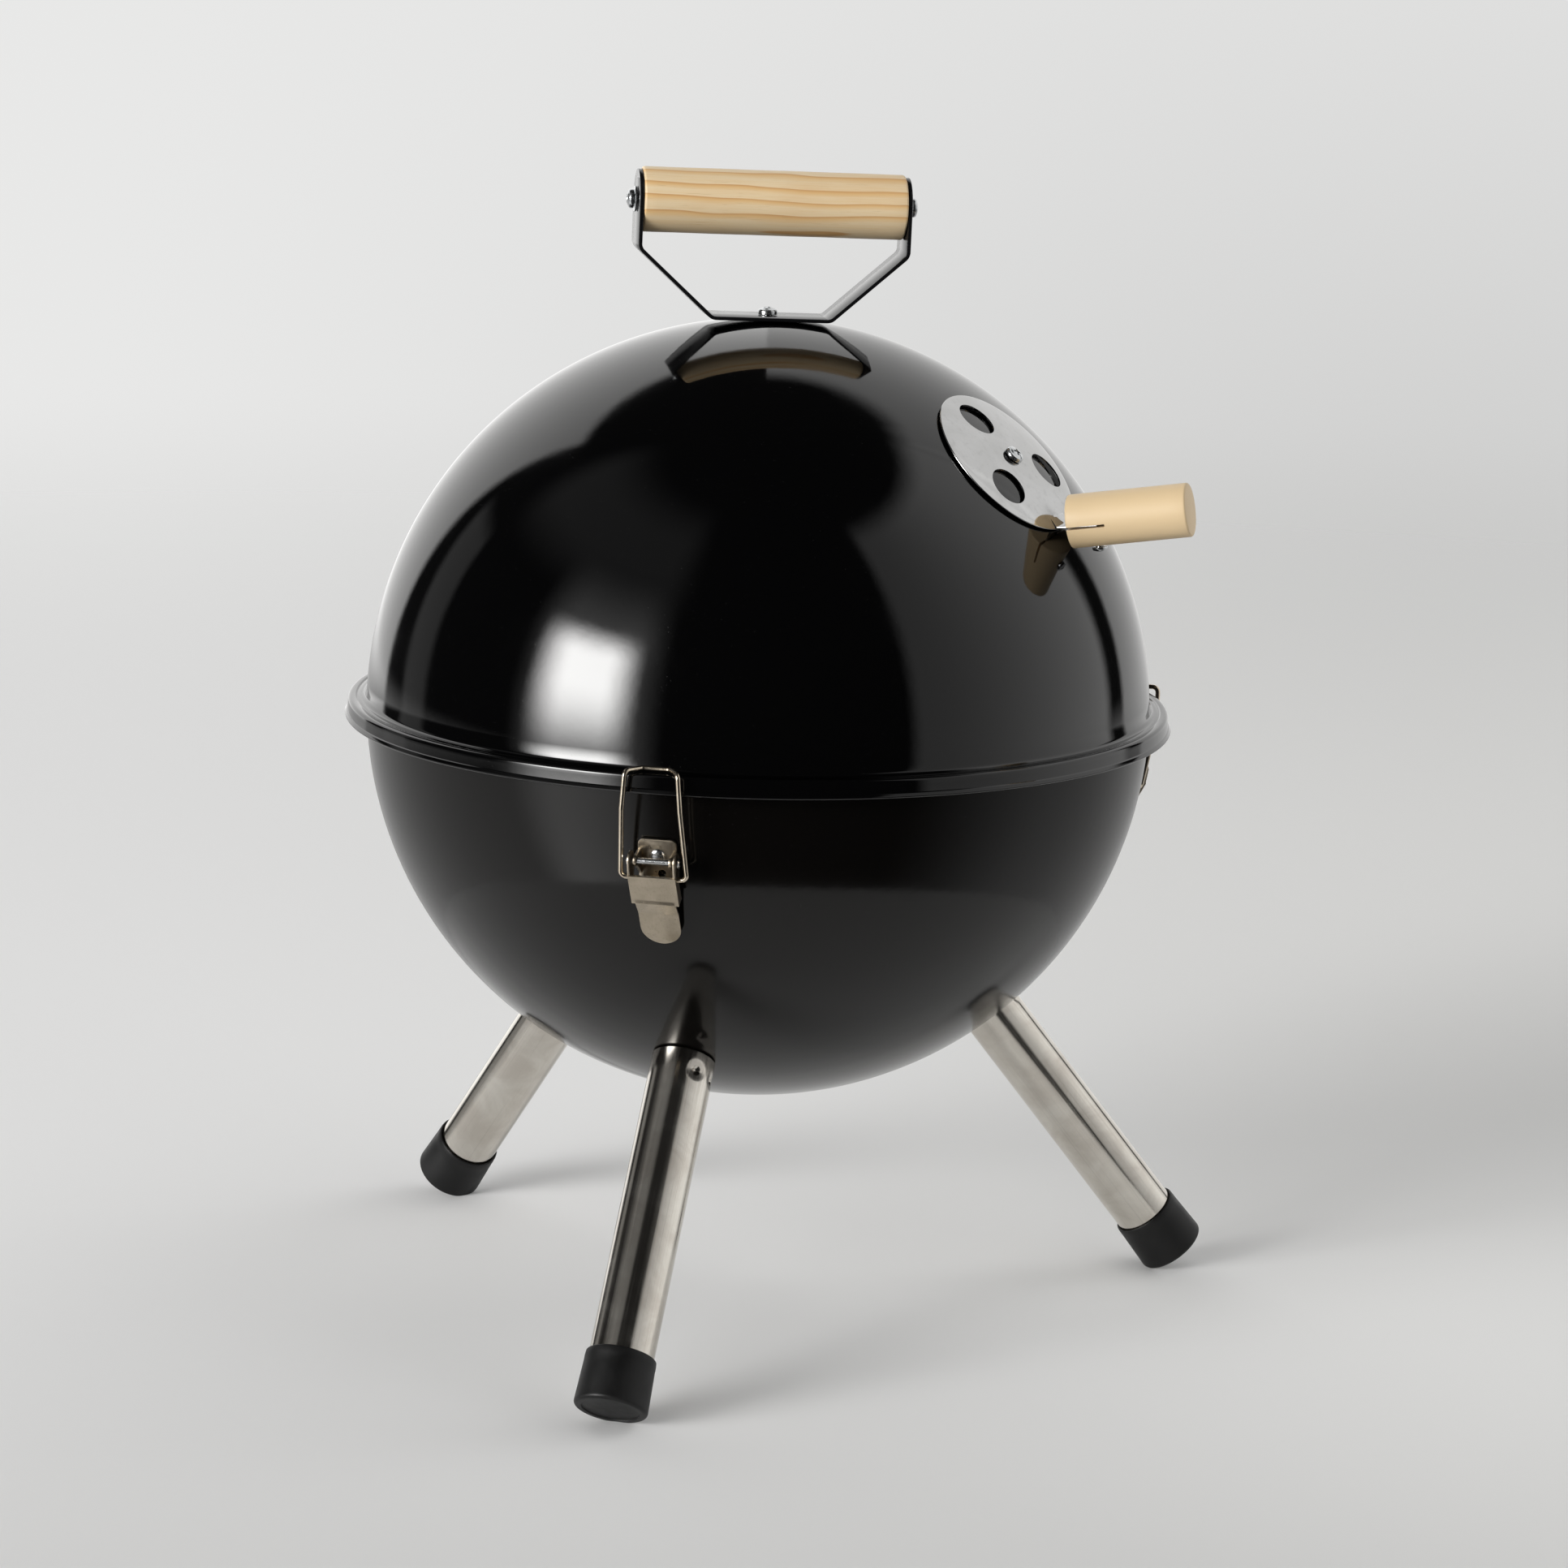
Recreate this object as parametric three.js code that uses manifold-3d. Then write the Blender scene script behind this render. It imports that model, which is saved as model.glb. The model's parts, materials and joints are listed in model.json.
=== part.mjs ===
// Kettle charcoal grill: a bowl on three splayed legs, a domed lid held by three draw clips.
// Units are millimetres and +Z is up. Heights count from the centre of the lid's sphere, and the
// whole model is moved at the end so that it stands on z = 0 with its box centred on x and y.
// Every clip and leg is drawn facing -Y and then turned round Z.
import * as THREE from 'three';
import { mergeVertices } from 'three/addons/utils/BufferGeometryUtils.js';
import Module from 'manifold-3d';

const wasm = await Module();
wasm.setup();

// ---- driving sizes -------------------------------------------------------------------------
const GAP = 0.3;                 // clearance between pieces that touch
const SHEET = 1.2;               // wall of the enamelled steel shells
const DOME_R = 160;              // outer radius of the lid's and the bowl's spheres
const BOWL_Z = 2.4;              // centre of the bowl's sphere above that of the lid
const LEDGE_Z = 4.7;             // top of the ledge at the foot of the dome
const SKIRT_R = 167.4;           // outer radius of the lid's skirt
const LIP_R = 168.7;             // outer radius of the lip along the skirt's lower edge
const AROUND = 48;               // facets round the shells
const RISE = 12;                 // facets from a shell's edge to its pole
const INSIDE_GAP = 1;            // clearance of flat pieces from the shells' inner facets

const LEG_COUNT = 3;
const LEG_SPLAY = THREE.MathUtils.degToRad(38.1);   // leg axis from the vertical
const TUBE_R = 12.7;
const TUBE_WALL = 1.2;
const TUBE_TOP = DOME_R - 0.1;   // distances along the leg count from the bowl's centre
const CAP_TOP = 285.6;
const CAP_END = 307.5;
const CAP_FLOOR = 4.7;
const CAP_EDGE = 1.5;
const CAP_RIM_R = 13.8;
const CAP_FOOT_R = 14.5;
const FOOT_PRESS = 0.5;          // how far the standing edge of each rubber foot is pressed flat
const PLUG_LENGTH = 18;
const PLUG_BORE = 14;            // depth of the bolt's hole in the plug
const BOLT_R = 3;
const BOLT_HEAD_R = 5.8;         // over the corners
const BOLT_HEAD_HIGH = 4;
const WASHER_THICK = 1.2;
const LEG_WASHER_R = 8;

const GRIP_AXIS_Z = 206.7;
const GRIP_R = 13;
const GRIP_HALF = 53.2;
const GRIP_EDGE = 0.8;
const PILOT_R = 2.4;             // screw holes in the ends of the grip
const PILOT_DEPTH = 27;
const STRAP_WIDTH = 24;
const STRAP_THICK = 1.5;
const STRAP_BASE_HALF = 24;
const STRAP_BEND_Z = 188;
const STRAP_BEND_R = 4;
const HANDLE_TURN = THREE.MathUtils.degToRad(23.9);
const HANDLE_LEAN = THREE.MathUtils.degToRad(1.2);   // the strap sits a little crooked
const SCREW_HOLE_R = 2.4;        // clearance hole of the 4 mm screws
const STRAP_HOLE_R = 2.5;
const NUT_FLATS = 7;
const NUT_HIGH = 3.2;

const VENT_AZIMUTH = THREE.MathUtils.degToRad(74.8);
const VENT_ELEVATION = THREE.MathUtils.degToRad(45.3);
const VENT_TURN = THREE.MathUtils.degToRad(5);
const DISC_R = 34.3;
const DISC_SAG = 2.6;
const DISC_THICK = 1;
const DISC_TOP = DOME_R + GAP + DISC_THICK;
const VENT_RING_R = 20.7;
const VENT_HOLE_R = 8.2;
const TAB_WIDTH = 12;
const TAB_BEND = THREE.MathUtils.degToRad(53.3);
const TAB_LENGTH = 17;
const KNOB_R = 10.6;
const KNOB_LENGTH = 48;
const KNOB_YAW = THREE.MathUtils.degToRad(11.8);
const KNOB_START = 3.5;          // along the tab, from its bend to the knob's inner end
const KERF_DROP = 1.4;           // the saw cut lies this far below the knob's axis
const KERF_DEPTH = 15.5;
const KNOB_SCREW_IN = 10.3;
const KNOB_EDGE = 0.7;

const CLIP_TURN = THREE.MathUtils.degToRad(1.9);     // each clip sits a little beside its leg
const PIN = [165, -29.3];        // clip points are [distance from the axis, height]
const PIN_R = 1.2;
const PIN_HOLE_R = 1.5;
const BAIL_PIVOT = [163.9, -35.9];
const LEVER_CORNER = [168, -35];
const LEVER_TIP = [149.4, -66];
const LEVER_STEP = 14;           // from the corner to the end of the wide part
const JOGGLE_RUN = 6.5;
const JOGGLE = 2.4;              // how far the finger tab lies below the wide part
const LEVER_FOLD = 4.5;          // depth of the folded sides at the step
const LEVER_HALF = 9.4;
const LEVER_SHEET = 1;
const EAR_HALF = 7.6;
const BRACKET_HALF = 13;         // half the length of the bracket's plate
const BRACKET_ELEVATION = THREE.MathUtils.degToRad(13.2);
const RIVET_OFFSETS = [-6, 8];   // along the bracket's plate, down from its middle
const RIVET_HOLE_R = 1.9;
const WIRE_R = 1;
const HOOK_Z = LEDGE_Z + WIRE_R + 0.5;

const GRATE_Z = -21.7;           // centre of the cooking grate's ring wire
const GRATE_RING_R = 148.5;
const COAL_Z = -110.8;           // centre of the charcoal grate's ring wire
const COAL_RING_R = 98;
const RING_WIRE_R = 2.5;         // half the thickness of the cooking grate's ring wire
const FLOOR_VENT_R = 24;         // inner damper plate at the bottom of the bowl
const FLOOR_RING_R = 15;
const FLOOR_HOLE_R = 6.4;

// ---- materials -----------------------------------------------------------------------------
function material(color, roughness, metalness) {
  return new THREE.MeshStandardMaterial({ color, roughness, metalness });
}

const enamel = material(0x0b0b0c, 0.12, 0);
const satinBlack = material(0x101011, 0.35, 0);
const chrome = material(0xd8dadd, 0.12, 1);
const zinc = material(0xb9bcc0, 0.3, 1);
const stainless = material(0xa8a49b, 0.25, 1);
const nickel = material(0xc9b697, 0.28, 1);
const rubber = material(0x141414, 0.8, 0);
const pine = material(0xd9a860, 0.55, 0);
const galvanised = material(0x9a9c9f, 0.4, 1);

// ---- solids --------------------------------------------------------------------------------
// One closed Manifold from a geometry: seams are welded and triangles without area dropped.
function solid(geometry) {
  const bare = geometry.clone();
  bare.deleteAttribute('normal');
  bare.deleteAttribute('uv');
  const welded = mergeVertices(bare, 1e-4);
  const source = welded.index.array;
  const kept = [];
  for (let i = 0; i < source.length; i += 3) {
    const [a, b, c] = [source[i], source[i + 1], source[i + 2]];
    if (a !== b && b !== c && c !== a) kept.push(a, b, c);
  }
  const vertProperties = new Float32Array(welded.attributes.position.array);
  const triVerts = new Uint32Array(kept);
  return new wasm.Manifold(new wasm.Mesh({ numProp: 3, vertProperties, triVerts }));
}

function geometryOf(manifold) {
  const { vertProperties, triVerts } = manifold.getMesh();
  const geometry = new THREE.BufferGeometry();
  geometry.setAttribute('position', new THREE.BufferAttribute(new Float32Array(vertProperties), 3));
  geometry.setIndex(new THREE.BufferAttribute(new Uint32Array(triVerts), 1));
  geometry.computeVertexNormals();
  return geometry;
}

function cut(base, tools) {
  return tools.reduce((body, tool) => body.subtract(solid(tool)), base);
}

function join(parts) {
  return parts.slice(1).reduce((body, part) => body.add(solid(part)), solid(parts[0]));
}

function piece(parent, name, shape, mat) {
  const geometry = shape.isBufferGeometry ? shape : geometryOf(shape);
  const mesh = new THREE.Mesh(geometry, mat);
  mesh.name = name;
  parent.add(mesh);
  return mesh;
}

// A body turned round Z from [radius, height] points, closed on the axis or on itself.
function turned(profile, facets = 20) {
  const points = profile.map(([r, z]) => new THREE.Vector2(r, z));
  return new THREE.LatheGeometry(points, facets).rotateX(Math.PI / 2);
}

function disc(radius, z0, z1, facets = 20) {
  return turned([[0, z0], [radius, z0], [radius, z1], [0, z1]], facets);
}

function ring(inner, outer, z0, z1, facets = 20) {
  return turned([[inner, z0], [outer, z0], [outer, z1], [inner, z1], [inner, z0]], facets);
}

function arc(cx, cy, radius, from, to, steps) {
  const points = [];
  for (let i = 0; i <= steps; i += 1) {
    const angle = THREE.MathUtils.degToRad(from + (to - from) * i / steps);
    points.push([cx + radius * Math.cos(angle), cy + radius * Math.sin(angle)]);
  }
  return points;
}

// A pan-head screw along -Z: the head's seat is at z = 0 and the shank reaches z = -length.
function screw(headRadius, headHeight, shankRadius, length) {
  return turned([
    [0, headHeight],
    [headRadius * 0.45, headHeight * 0.96],
    [headRadius * 0.85, headHeight * 0.72],
    [headRadius, headHeight * 0.35],
    [headRadius * 0.96, 0],
    [shankRadius, 0],
    [shankRadius, -length],
    [0, -length],
  ].reverse(), 12);
}

// A rivet along Z whose two heads sit on z0 and z1.
function rivetBetween(z0, z1, shankRadius = 1.6, headRadius = 3.2, headHeight = 1.1) {
  return turned([
    [0, z0 - headHeight],
    [headRadius * 0.8, z0 - headHeight * 0.85],
    [headRadius, z0],
    [shankRadius, z0],
    [shankRadius, z1],
    [headRadius, z1],
    [headRadius * 0.8, z1 + headHeight * 0.85],
    [0, z1 + headHeight],
  ], 10);
}

// A hexagon nut with its bore along Z, from z = 0 to z = height.
function nut(acrossFlats, boreRadius, height) {
  const corner = acrossFlats / Math.sqrt(3);
  const hexagon = new THREE.CylinderGeometry(corner, corner, height, 6).rotateX(Math.PI / 2);
  hexagon.translate(0, 0, height / 2);
  return cut(solid(hexagon), [disc(boreRadius, -1, height + 1, 12)]);
}

// An outline of [out, up] points in the plane through the axis, made into a plate of x0..x1.
// "Out" is the distance from the grill's axis, which on the front side is -Y.
function plate(outline, x0, x1) {
  const shape = new THREE.Shape(outline.map(([out, up]) => new THREE.Vector2(out, up)));
  const geometry = new THREE.ExtrudeGeometry(shape, { depth: x1 - x0, bevelEnabled: false });
  return geometry.rotateX(Math.PI / 2).rotateZ(-Math.PI / 2).translate(x1, 0, 0);
}

// A rod along X at [out, up], for pins and holes.
function crossRod(radius, [out, up], x0, x1, facets = 12) {
  const rod = new THREE.CylinderGeometry(radius, radius, x1 - x0, facets).rotateZ(Math.PI / 2);
  return rod.translate((x0 + x1) / 2, -out, up);
}

// A polyline whose stations are used as they stand, so each bend keeps its own points.
class StationPath extends THREE.Curve {
  constructor(stations) {
    super();
    this.stations = stations;
  }

  getPoint(t) {
    const last = this.stations.length - 1;
    const place = Math.min(Math.max(t, 0), 1) * last;
    const index = Math.min(Math.floor(place), last - 1);
    return this.stations[index].clone().lerp(this.stations[index + 1], place - index);
  }

  getUtoTmapping(u) {
    return u;
  }
}

// Corner points become arcs of the bend radius; works on 2D and 3D vectors alike.
function roundedStations(corners, bend, steps) {
  const stations = [corners[0].clone()];
  for (let i = 1; i < corners.length - 1; i += 1) {
    const before = corners[i].clone().sub(corners[i - 1]).normalize();
    const after = corners[i + 1].clone().sub(corners[i]).normalize();
    const half = Math.acos(THREE.MathUtils.clamp(before.dot(after), -1, 1)) / 2;
    const reach = bend * Math.tan(half);
    const start = corners[i].clone().addScaledVector(before, -reach);
    const end = corners[i].clone().addScaledVector(after, reach);
    for (let k = 0; k <= steps; k += 1) {
      const t = k / steps;
      const left = start.clone().lerp(corners[i], t);
      stations.push(left.lerp(corners[i].clone().lerp(end, t), t));
    }
  }
  stations.push(corners[corners.length - 1].clone());
  return stations;
}

function wire(corners, radius, bend, steps = 2, sides = 5) {
  const stations = roundedStations(corners, bend, steps);
  const section = new THREE.Shape(arc(0, 0, radius, 0, 360 - 360 / sides, sides - 1)
    .map(([x, y]) => new THREE.Vector2(x, y)));
  return new THREE.ExtrudeGeometry(section, {
    steps: stations.length - 1,
    extrudePath: new StationPath(stations),
    bevelEnabled: false,
  });
}

// The outline of a strip of even thickness that follows a 2D polyline.
function stripOutline(line, thickness) {
  const sides = [1, -1].map((side) => line.map((point, i) => {
    const before = line[Math.max(i - 1, 0)];
    const after = line[Math.min(i + 1, line.length - 1)];
    const into = point.clone().sub(before);
    const outOf = after.clone().sub(point);
    const a = (into.length() > 0 ? into : outOf).normalize();
    const b = (outOf.length() > 0 ? outOf : a).clone().normalize();
    const normal = new THREE.Vector2(-(a.y + b.y), a.x + b.x).normalize();
    const widen = 1 / Math.max(normal.dot(new THREE.Vector2(-a.y, a.x)), 0.3);
    return point.clone().addScaledVector(normal, side * thickness / 2 * widen);
  }));
  return [...sides[1], ...sides[0].reverse()];
}

// ---- the scene -----------------------------------------------------------------------------
const grill = new THREE.Group();
const lidGroup = new THREE.Group();
const bowlGroup = new THREE.Group();
grill.add(lidGroup, bowlGroup);

function turnedGroup(parent, azimuth) {
  const group = new THREE.Group();
  group.rotation.z = azimuth;
  parent.add(group);
  return group;
}

// The vent's own frame: origin at the lid's centre, +Z out through the disc, +X down the slope.
const ventGroup = new THREE.Group();
const ventOut = new THREE.Vector3(
  Math.cos(VENT_ELEVATION) * Math.sin(VENT_AZIMUTH),
  -Math.cos(VENT_ELEVATION) * Math.cos(VENT_AZIMUTH),
  Math.sin(VENT_ELEVATION),
);
const ventSide = new THREE.Vector3(Math.cos(VENT_AZIMUTH), Math.sin(VENT_AZIMUTH), 0);
const ventDown = ventSide.clone().cross(ventOut);
ventDown.applyAxisAngle(ventOut, VENT_TURN);
ventSide.applyAxisAngle(ventOut, VENT_TURN);
ventGroup.quaternion.setFromRotationMatrix(new THREE.Matrix4().makeBasis(ventDown, ventSide, ventOut));
lidGroup.add(ventGroup);

// Three rods round Z on the vent's ring, for holes; start is the first one's angle from +X.
function ventRods(radius, ringRadius, start, z0, z1) {
  return [0, 1, 2].map((i) => {
    const angle = start + i * 2 * Math.PI / 3;
    const place = [ringRadius * Math.cos(angle), ringRadius * Math.sin(angle), 0];
    return disc(radius, z0, z1).translate(...place);
  });
}

function buildLid() {
  const inner = DOME_R - SHEET;
  const outline = [
    ...arc(0, 0, DOME_R, 90, 2.2, RISE),
    [DOME_R + 0.4, LEDGE_Z + 0.5],
    [DOME_R + 1.4, LEDGE_Z],
    [SKIRT_R - 1, LEDGE_Z],
    [SKIRT_R - 0.2, LEDGE_Z - 0.5],
    [SKIRT_R, LEDGE_Z - 1.3],
    [LIP_R - 0.6, -1.7],
    [LIP_R, -2.2],
    [LIP_R - 0.3, -2.8],
    [LIP_R - 1.1, -2.8],
    [LIP_R - 1.7, -1.8],
    [SKIRT_R - SHEET, LEDGE_Z - SHEET - 0.2],
    [SKIRT_R - SHEET - 0.2, LEDGE_Z - SHEET],
    [DOME_R + 0.3, LEDGE_Z - SHEET],
    ...arc(0, 0, inner, 1.7, 90, RISE),
  ].reverse();
  outline[0][0] = 0;
  outline[outline.length - 1][0] = 0;
  const shell = turned(outline, AROUND);
  ventGroup.updateMatrix();
  const holes = ventRods(VENT_HOLE_R - 0.5, VENT_RING_R, 0, 130, DISC_TOP)
    .concat(disc(SCREW_HOLE_R, 130, DISC_TOP, 12))
    .map((rod) => rod.applyMatrix4(ventGroup.matrix));
  holes.push(disc(STRAP_HOLE_R, 140, 165, 12));
  piece(lidGroup, 'lid_shell', cut(solid(shell), holes), enamel);
}

function buildHandle() {
  const group = turnedGroup(lidGroup, HANDLE_TURN);
  const crooked = new THREE.Group();
  crooked.rotation.y = HANDLE_LEAN;
  crooked.position.set(-DOME_R * Math.sin(HANDLE_LEAN), 0, DOME_R * (1 - Math.cos(HANDLE_LEAN)));
  group.add(crooked);
  const face = GRIP_HALF + GAP + STRAP_THICK / 2;
  const baseZ = DOME_R + GAP + STRAP_THICK / 2;
  const earTop = GRIP_AXIS_Z + STRAP_WIDTH / 2;
  const half = [[STRAP_BASE_HALF, baseZ], [face, STRAP_BEND_Z], [face, earTop]];
  const corners = [...half.map(([x, z]) => [-x, z]).reverse(), ...half];
  const line = roundedStations(corners.map(([x, z]) => new THREE.Vector2(x, z)), STRAP_BEND_R, 3);
  const outline = new THREE.Shape(stripOutline(line, STRAP_THICK));
  const band = new THREE.ExtrudeGeometry(outline, { depth: STRAP_WIDTH, bevelEnabled: false });
  band.translate(0, 0, -STRAP_WIDTH / 2).rotateX(Math.PI / 2);
  const archShape = new THREE.Shape([
    ...arc(GRIP_AXIS_Z, 0, STRAP_WIDTH / 2, -90, 90, 12),
    [GRIP_AXIS_Z, 20],
    [GRIP_AXIS_Z + 20, 20],
    [GRIP_AXIS_Z + 20, -20],
    [GRIP_AXIS_Z, -20],
  ].map(([up, side]) => new THREE.Vector2(side, up)));
  const arch = new THREE.ExtrudeGeometry(archShape, { depth: 4 * GRIP_HALF, bevelEnabled: false });
  arch.translate(0, 0, -2 * GRIP_HALF).rotateX(Math.PI / 2).rotateZ(Math.PI / 2);
  const holes = [
    arch,
    crossRod(STRAP_HOLE_R, [0, GRIP_AXIS_Z], -2 * GRIP_HALF, 2 * GRIP_HALF),
    disc(STRAP_HOLE_R, DOME_R - 5, DOME_R + 10, 12),
  ];
  piece(crooked, 'handle_strap', cut(solid(band), holes), satinBlack);

  const grip = turned([
    [0, PILOT_DEPTH - GRIP_HALF],
    [PILOT_R, PILOT_DEPTH - GRIP_HALF],
    [PILOT_R, -GRIP_HALF],
    [GRIP_R - GRIP_EDGE, -GRIP_HALF],
    [GRIP_R, GRIP_EDGE - GRIP_HALF],
    [GRIP_R, GRIP_HALF - GRIP_EDGE],
    [GRIP_R - GRIP_EDGE, GRIP_HALF],
    [PILOT_R, GRIP_HALF],
    [PILOT_R, GRIP_HALF - PILOT_DEPTH],
    [0, GRIP_HALF - PILOT_DEPTH],
  ], 22).rotateY(Math.PI / 2).translate(0, 0, GRIP_AXIS_Z);
  piece(crooked, 'handle_grip', grip, pine);

  const washerSeat = face + STRAP_THICK / 2 + GAP;
  const washerThick = 0.8;
  for (const [side, turn] of [['left', -1], ['right', 1]]) {
    const washer = ring(SCREW_HOLE_R, 5.2, washerSeat, washerSeat + washerThick, 16);
    washer.rotateY(turn * Math.PI / 2).translate(0, 0, GRIP_AXIS_Z);
    piece(crooked, `handle_washer_${side}`, washer, zinc);
    const bolt = screw(3.9, 2.8, 2, 27);
    bolt.translate(0, 0, washerSeat + washerThick + GAP);
    bolt.rotateY(turn * Math.PI / 2).translate(0, 0, GRIP_AXIS_Z);
    piece(crooked, `handle_screw_${side}`, bolt, zinc);
  }
  const headSeat = DOME_R + STRAP_THICK + 2 * GAP;
  piece(group, 'handle_base_screw', screw(4, 3, 2, 11).translate(0, 0, headSeat), zinc);
  const nutZ = DOME_R - SHEET - INSIDE_GAP - NUT_HIGH;
  piece(group, 'handle_base_nut', nut(NUT_FLATS, SCREW_HOLE_R, NUT_HIGH), zinc).position.z = nutZ;
}

// The damper: a shallow dished disc whose tab is bent up out of it into the knob's saw cut.
function buildDamper() {
  const dish = (r, z) => [r, z - DISC_SAG * (r / DISC_R) ** 2];
  const radii = [0, 0.4, 0.7, 1].map((part) => part * DISC_R);
  const top = radii.map((r) => dish(r, DISC_TOP));
  const under = radii.map((r) => dish(r, DISC_TOP - DISC_THICK));
  const plateDisc = turned([...under, ...top.reverse()], 30);

  const rimZ = DISC_TOP - DISC_SAG - DISC_THICK / 2;
  const root = new THREE.Vector2(DISC_R - 3, rimZ + 0.45);
  const bendAt = new THREE.Vector2(DISC_R - 0.6, rimZ);
  const along = new THREE.Vector2(Math.cos(TAB_BEND), Math.sin(TAB_BEND));
  const tabEnd = bendAt.clone().addScaledVector(along, TAB_LENGTH);
  const tabLine = new THREE.Shape(stripOutline([root, bendAt, tabEnd], DISC_THICK));
  const tab = new THREE.ExtrudeGeometry(tabLine, { depth: TAB_WIDTH, bevelEnabled: false });
  tab.translate(0, 0, -TAB_WIDTH / 2).rotateX(Math.PI / 2);

  // The knob's frame: +Z along its axis, +X square to the tab on the side of the screw's point.
  const knobGroup = new THREE.Group();
  const tabDirection = new THREE.Vector3(along.x, 0, along.y);
  const tabNormal = new THREE.Vector3(-along.y, 0, along.x);
  const axis = tabDirection.clone().applyAxisAngle(tabNormal, KNOB_YAW);
  const side = axis.clone().cross(tabNormal);
  knobGroup.quaternion.setFromRotationMatrix(new THREE.Matrix4().makeBasis(tabNormal, side, axis));
  knobGroup.position.set(bendAt.x, 0, bendAt.y).addScaledVector(tabDirection, KNOB_START);
  knobGroup.position.addScaledVector(tabNormal, KERF_DROP);
  ventGroup.add(knobGroup);
  knobGroup.updateMatrix();

  const screwHole = disc(1.9, -30, 30, 12).rotateY(Math.PI / 2).translate(0, 0, KNOB_SCREW_IN);
  const holes = [
    ...ventRods(VENT_HOLE_R, VENT_RING_R, Math.PI / 3, 140, 180),
    disc(SCREW_HOLE_R, 140, 180, 12),
    screwHole.applyMatrix4(knobGroup.matrix),
  ];
  piece(ventGroup, 'damper_disc', cut(join([plateDisc, tab]), holes), chrome);

  const body = turned([
    [0, 0],
    [KNOB_R - KNOB_EDGE, 0],
    [KNOB_R, KNOB_EDGE],
    [KNOB_R, KNOB_LENGTH - KNOB_EDGE],
    [KNOB_R - KNOB_EDGE, KNOB_LENGTH],
    [0, KNOB_LENGTH],
  ], 28);
  const kerf = new THREE.BoxGeometry(DISC_THICK + 2 * GAP, 3 * KNOB_R, 2 * KERF_DEPTH);
  kerf.translate(-KERF_DROP, 0, 0);
  const bore = disc(1.8, -20, 6.5, 12).rotateY(Math.PI / 2).translate(0, 0, KNOB_SCREW_IN);
  piece(knobGroup, 'damper_knob', cut(solid(body), [kerf, bore]), pine);

  const knobScrew = screw(3, 2, 1.5, 16).rotateY(-Math.PI / 2);
  knobScrew.translate(-KNOB_R - GAP, 0, KNOB_SCREW_IN);
  piece(knobGroup, 'damper_knob_screw', knobScrew, zinc);

  piece(ventGroup, 'damper_screw', screw(3.9, 2.6, 2, 12).translate(0, 0, DISC_TOP + GAP), zinc);
  const springTop = DOME_R - SHEET - INSIDE_GAP;
  const spring = ring(SCREW_HOLE_R, 5, springTop - WASHER_THICK, springTop, 16);
  piece(ventGroup, 'damper_spring_washer', spring, zinc);
  const nutTop = springTop - WASHER_THICK - GAP;
  const hexagon = nut(NUT_FLATS, SCREW_HOLE_R, NUT_HIGH).translate(0, 0, nutTop - NUT_HIGH);
  piece(ventGroup, 'damper_nut', hexagon, zinc);
}

// Everything that goes through the bowl's wall for leg and clip i is cut from the shell here.
function buildBowl() {
  const inner = DOME_R - SHEET;
  const outline = [
    ...arc(0, BOWL_Z, DOME_R, -90, -1, RISE),
    ...arc(162.6, 0.6, 2.6, -160, 90, 6),
    [DOME_R - 0.4, 3.2],
    [inner + 0.2, BOWL_Z + 0.4],
    ...arc(0, BOWL_Z, inner, 0, -90, RISE),
  ];
  outline[0][0] = 0;
  outline[outline.length - 1][0] = 0;
  const holes = [];
  for (let i = 0; i < LEG_COUNT; i += 1) {
    const turn = i * 2 * Math.PI / LEG_COUNT;
    const bolt = disc(BOLT_R + 0.4, 140, 180, 12).applyMatrix4(legMatrix());
    holes.push(bolt.rotateZ(turn));
    for (const offset of RIVET_OFFSETS) {
      const rivet = disc(RIVET_HOLE_R, 140, 180, 10).applyMatrix4(rivetMatrix(offset));
      holes.push(rivet.rotateZ(turn + CLIP_TURN));
    }
  }
  holes.push(...ventRods(FLOOR_HOLE_R - 0.4, FLOOR_RING_R, Math.PI / 2, -180, -140));
  holes.push(disc(SCREW_HOLE_R, -180, -140, 12));
  piece(bowlGroup, 'bowl_shell', cut(solid(turned(outline, AROUND)), holes), enamel);
}

// The leg's frame: origin at the bowl's centre, +Z down along the front leg.
function legMatrix() {
  const matrix = new THREE.Matrix4().makeRotationX(Math.PI - LEG_SPLAY);
  return matrix.setPosition(0, 0, BOWL_Z);
}

function legGroup(parent) {
  const group = new THREE.Group();
  group.applyMatrix4(legMatrix());
  parent.add(group);
  return group;
}

// The height at which the three rubber feet stand.
function groundHeight() {
  const reach = CAP_END - CAP_EDGE;
  const edgeRadius = CAP_FOOT_R - CAP_EDGE;
  const lowest = reach * Math.cos(LEG_SPLAY) + edgeRadius * Math.sin(LEG_SPLAY) + CAP_EDGE;
  return BOWL_Z - lowest + FOOT_PRESS;
}

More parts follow.
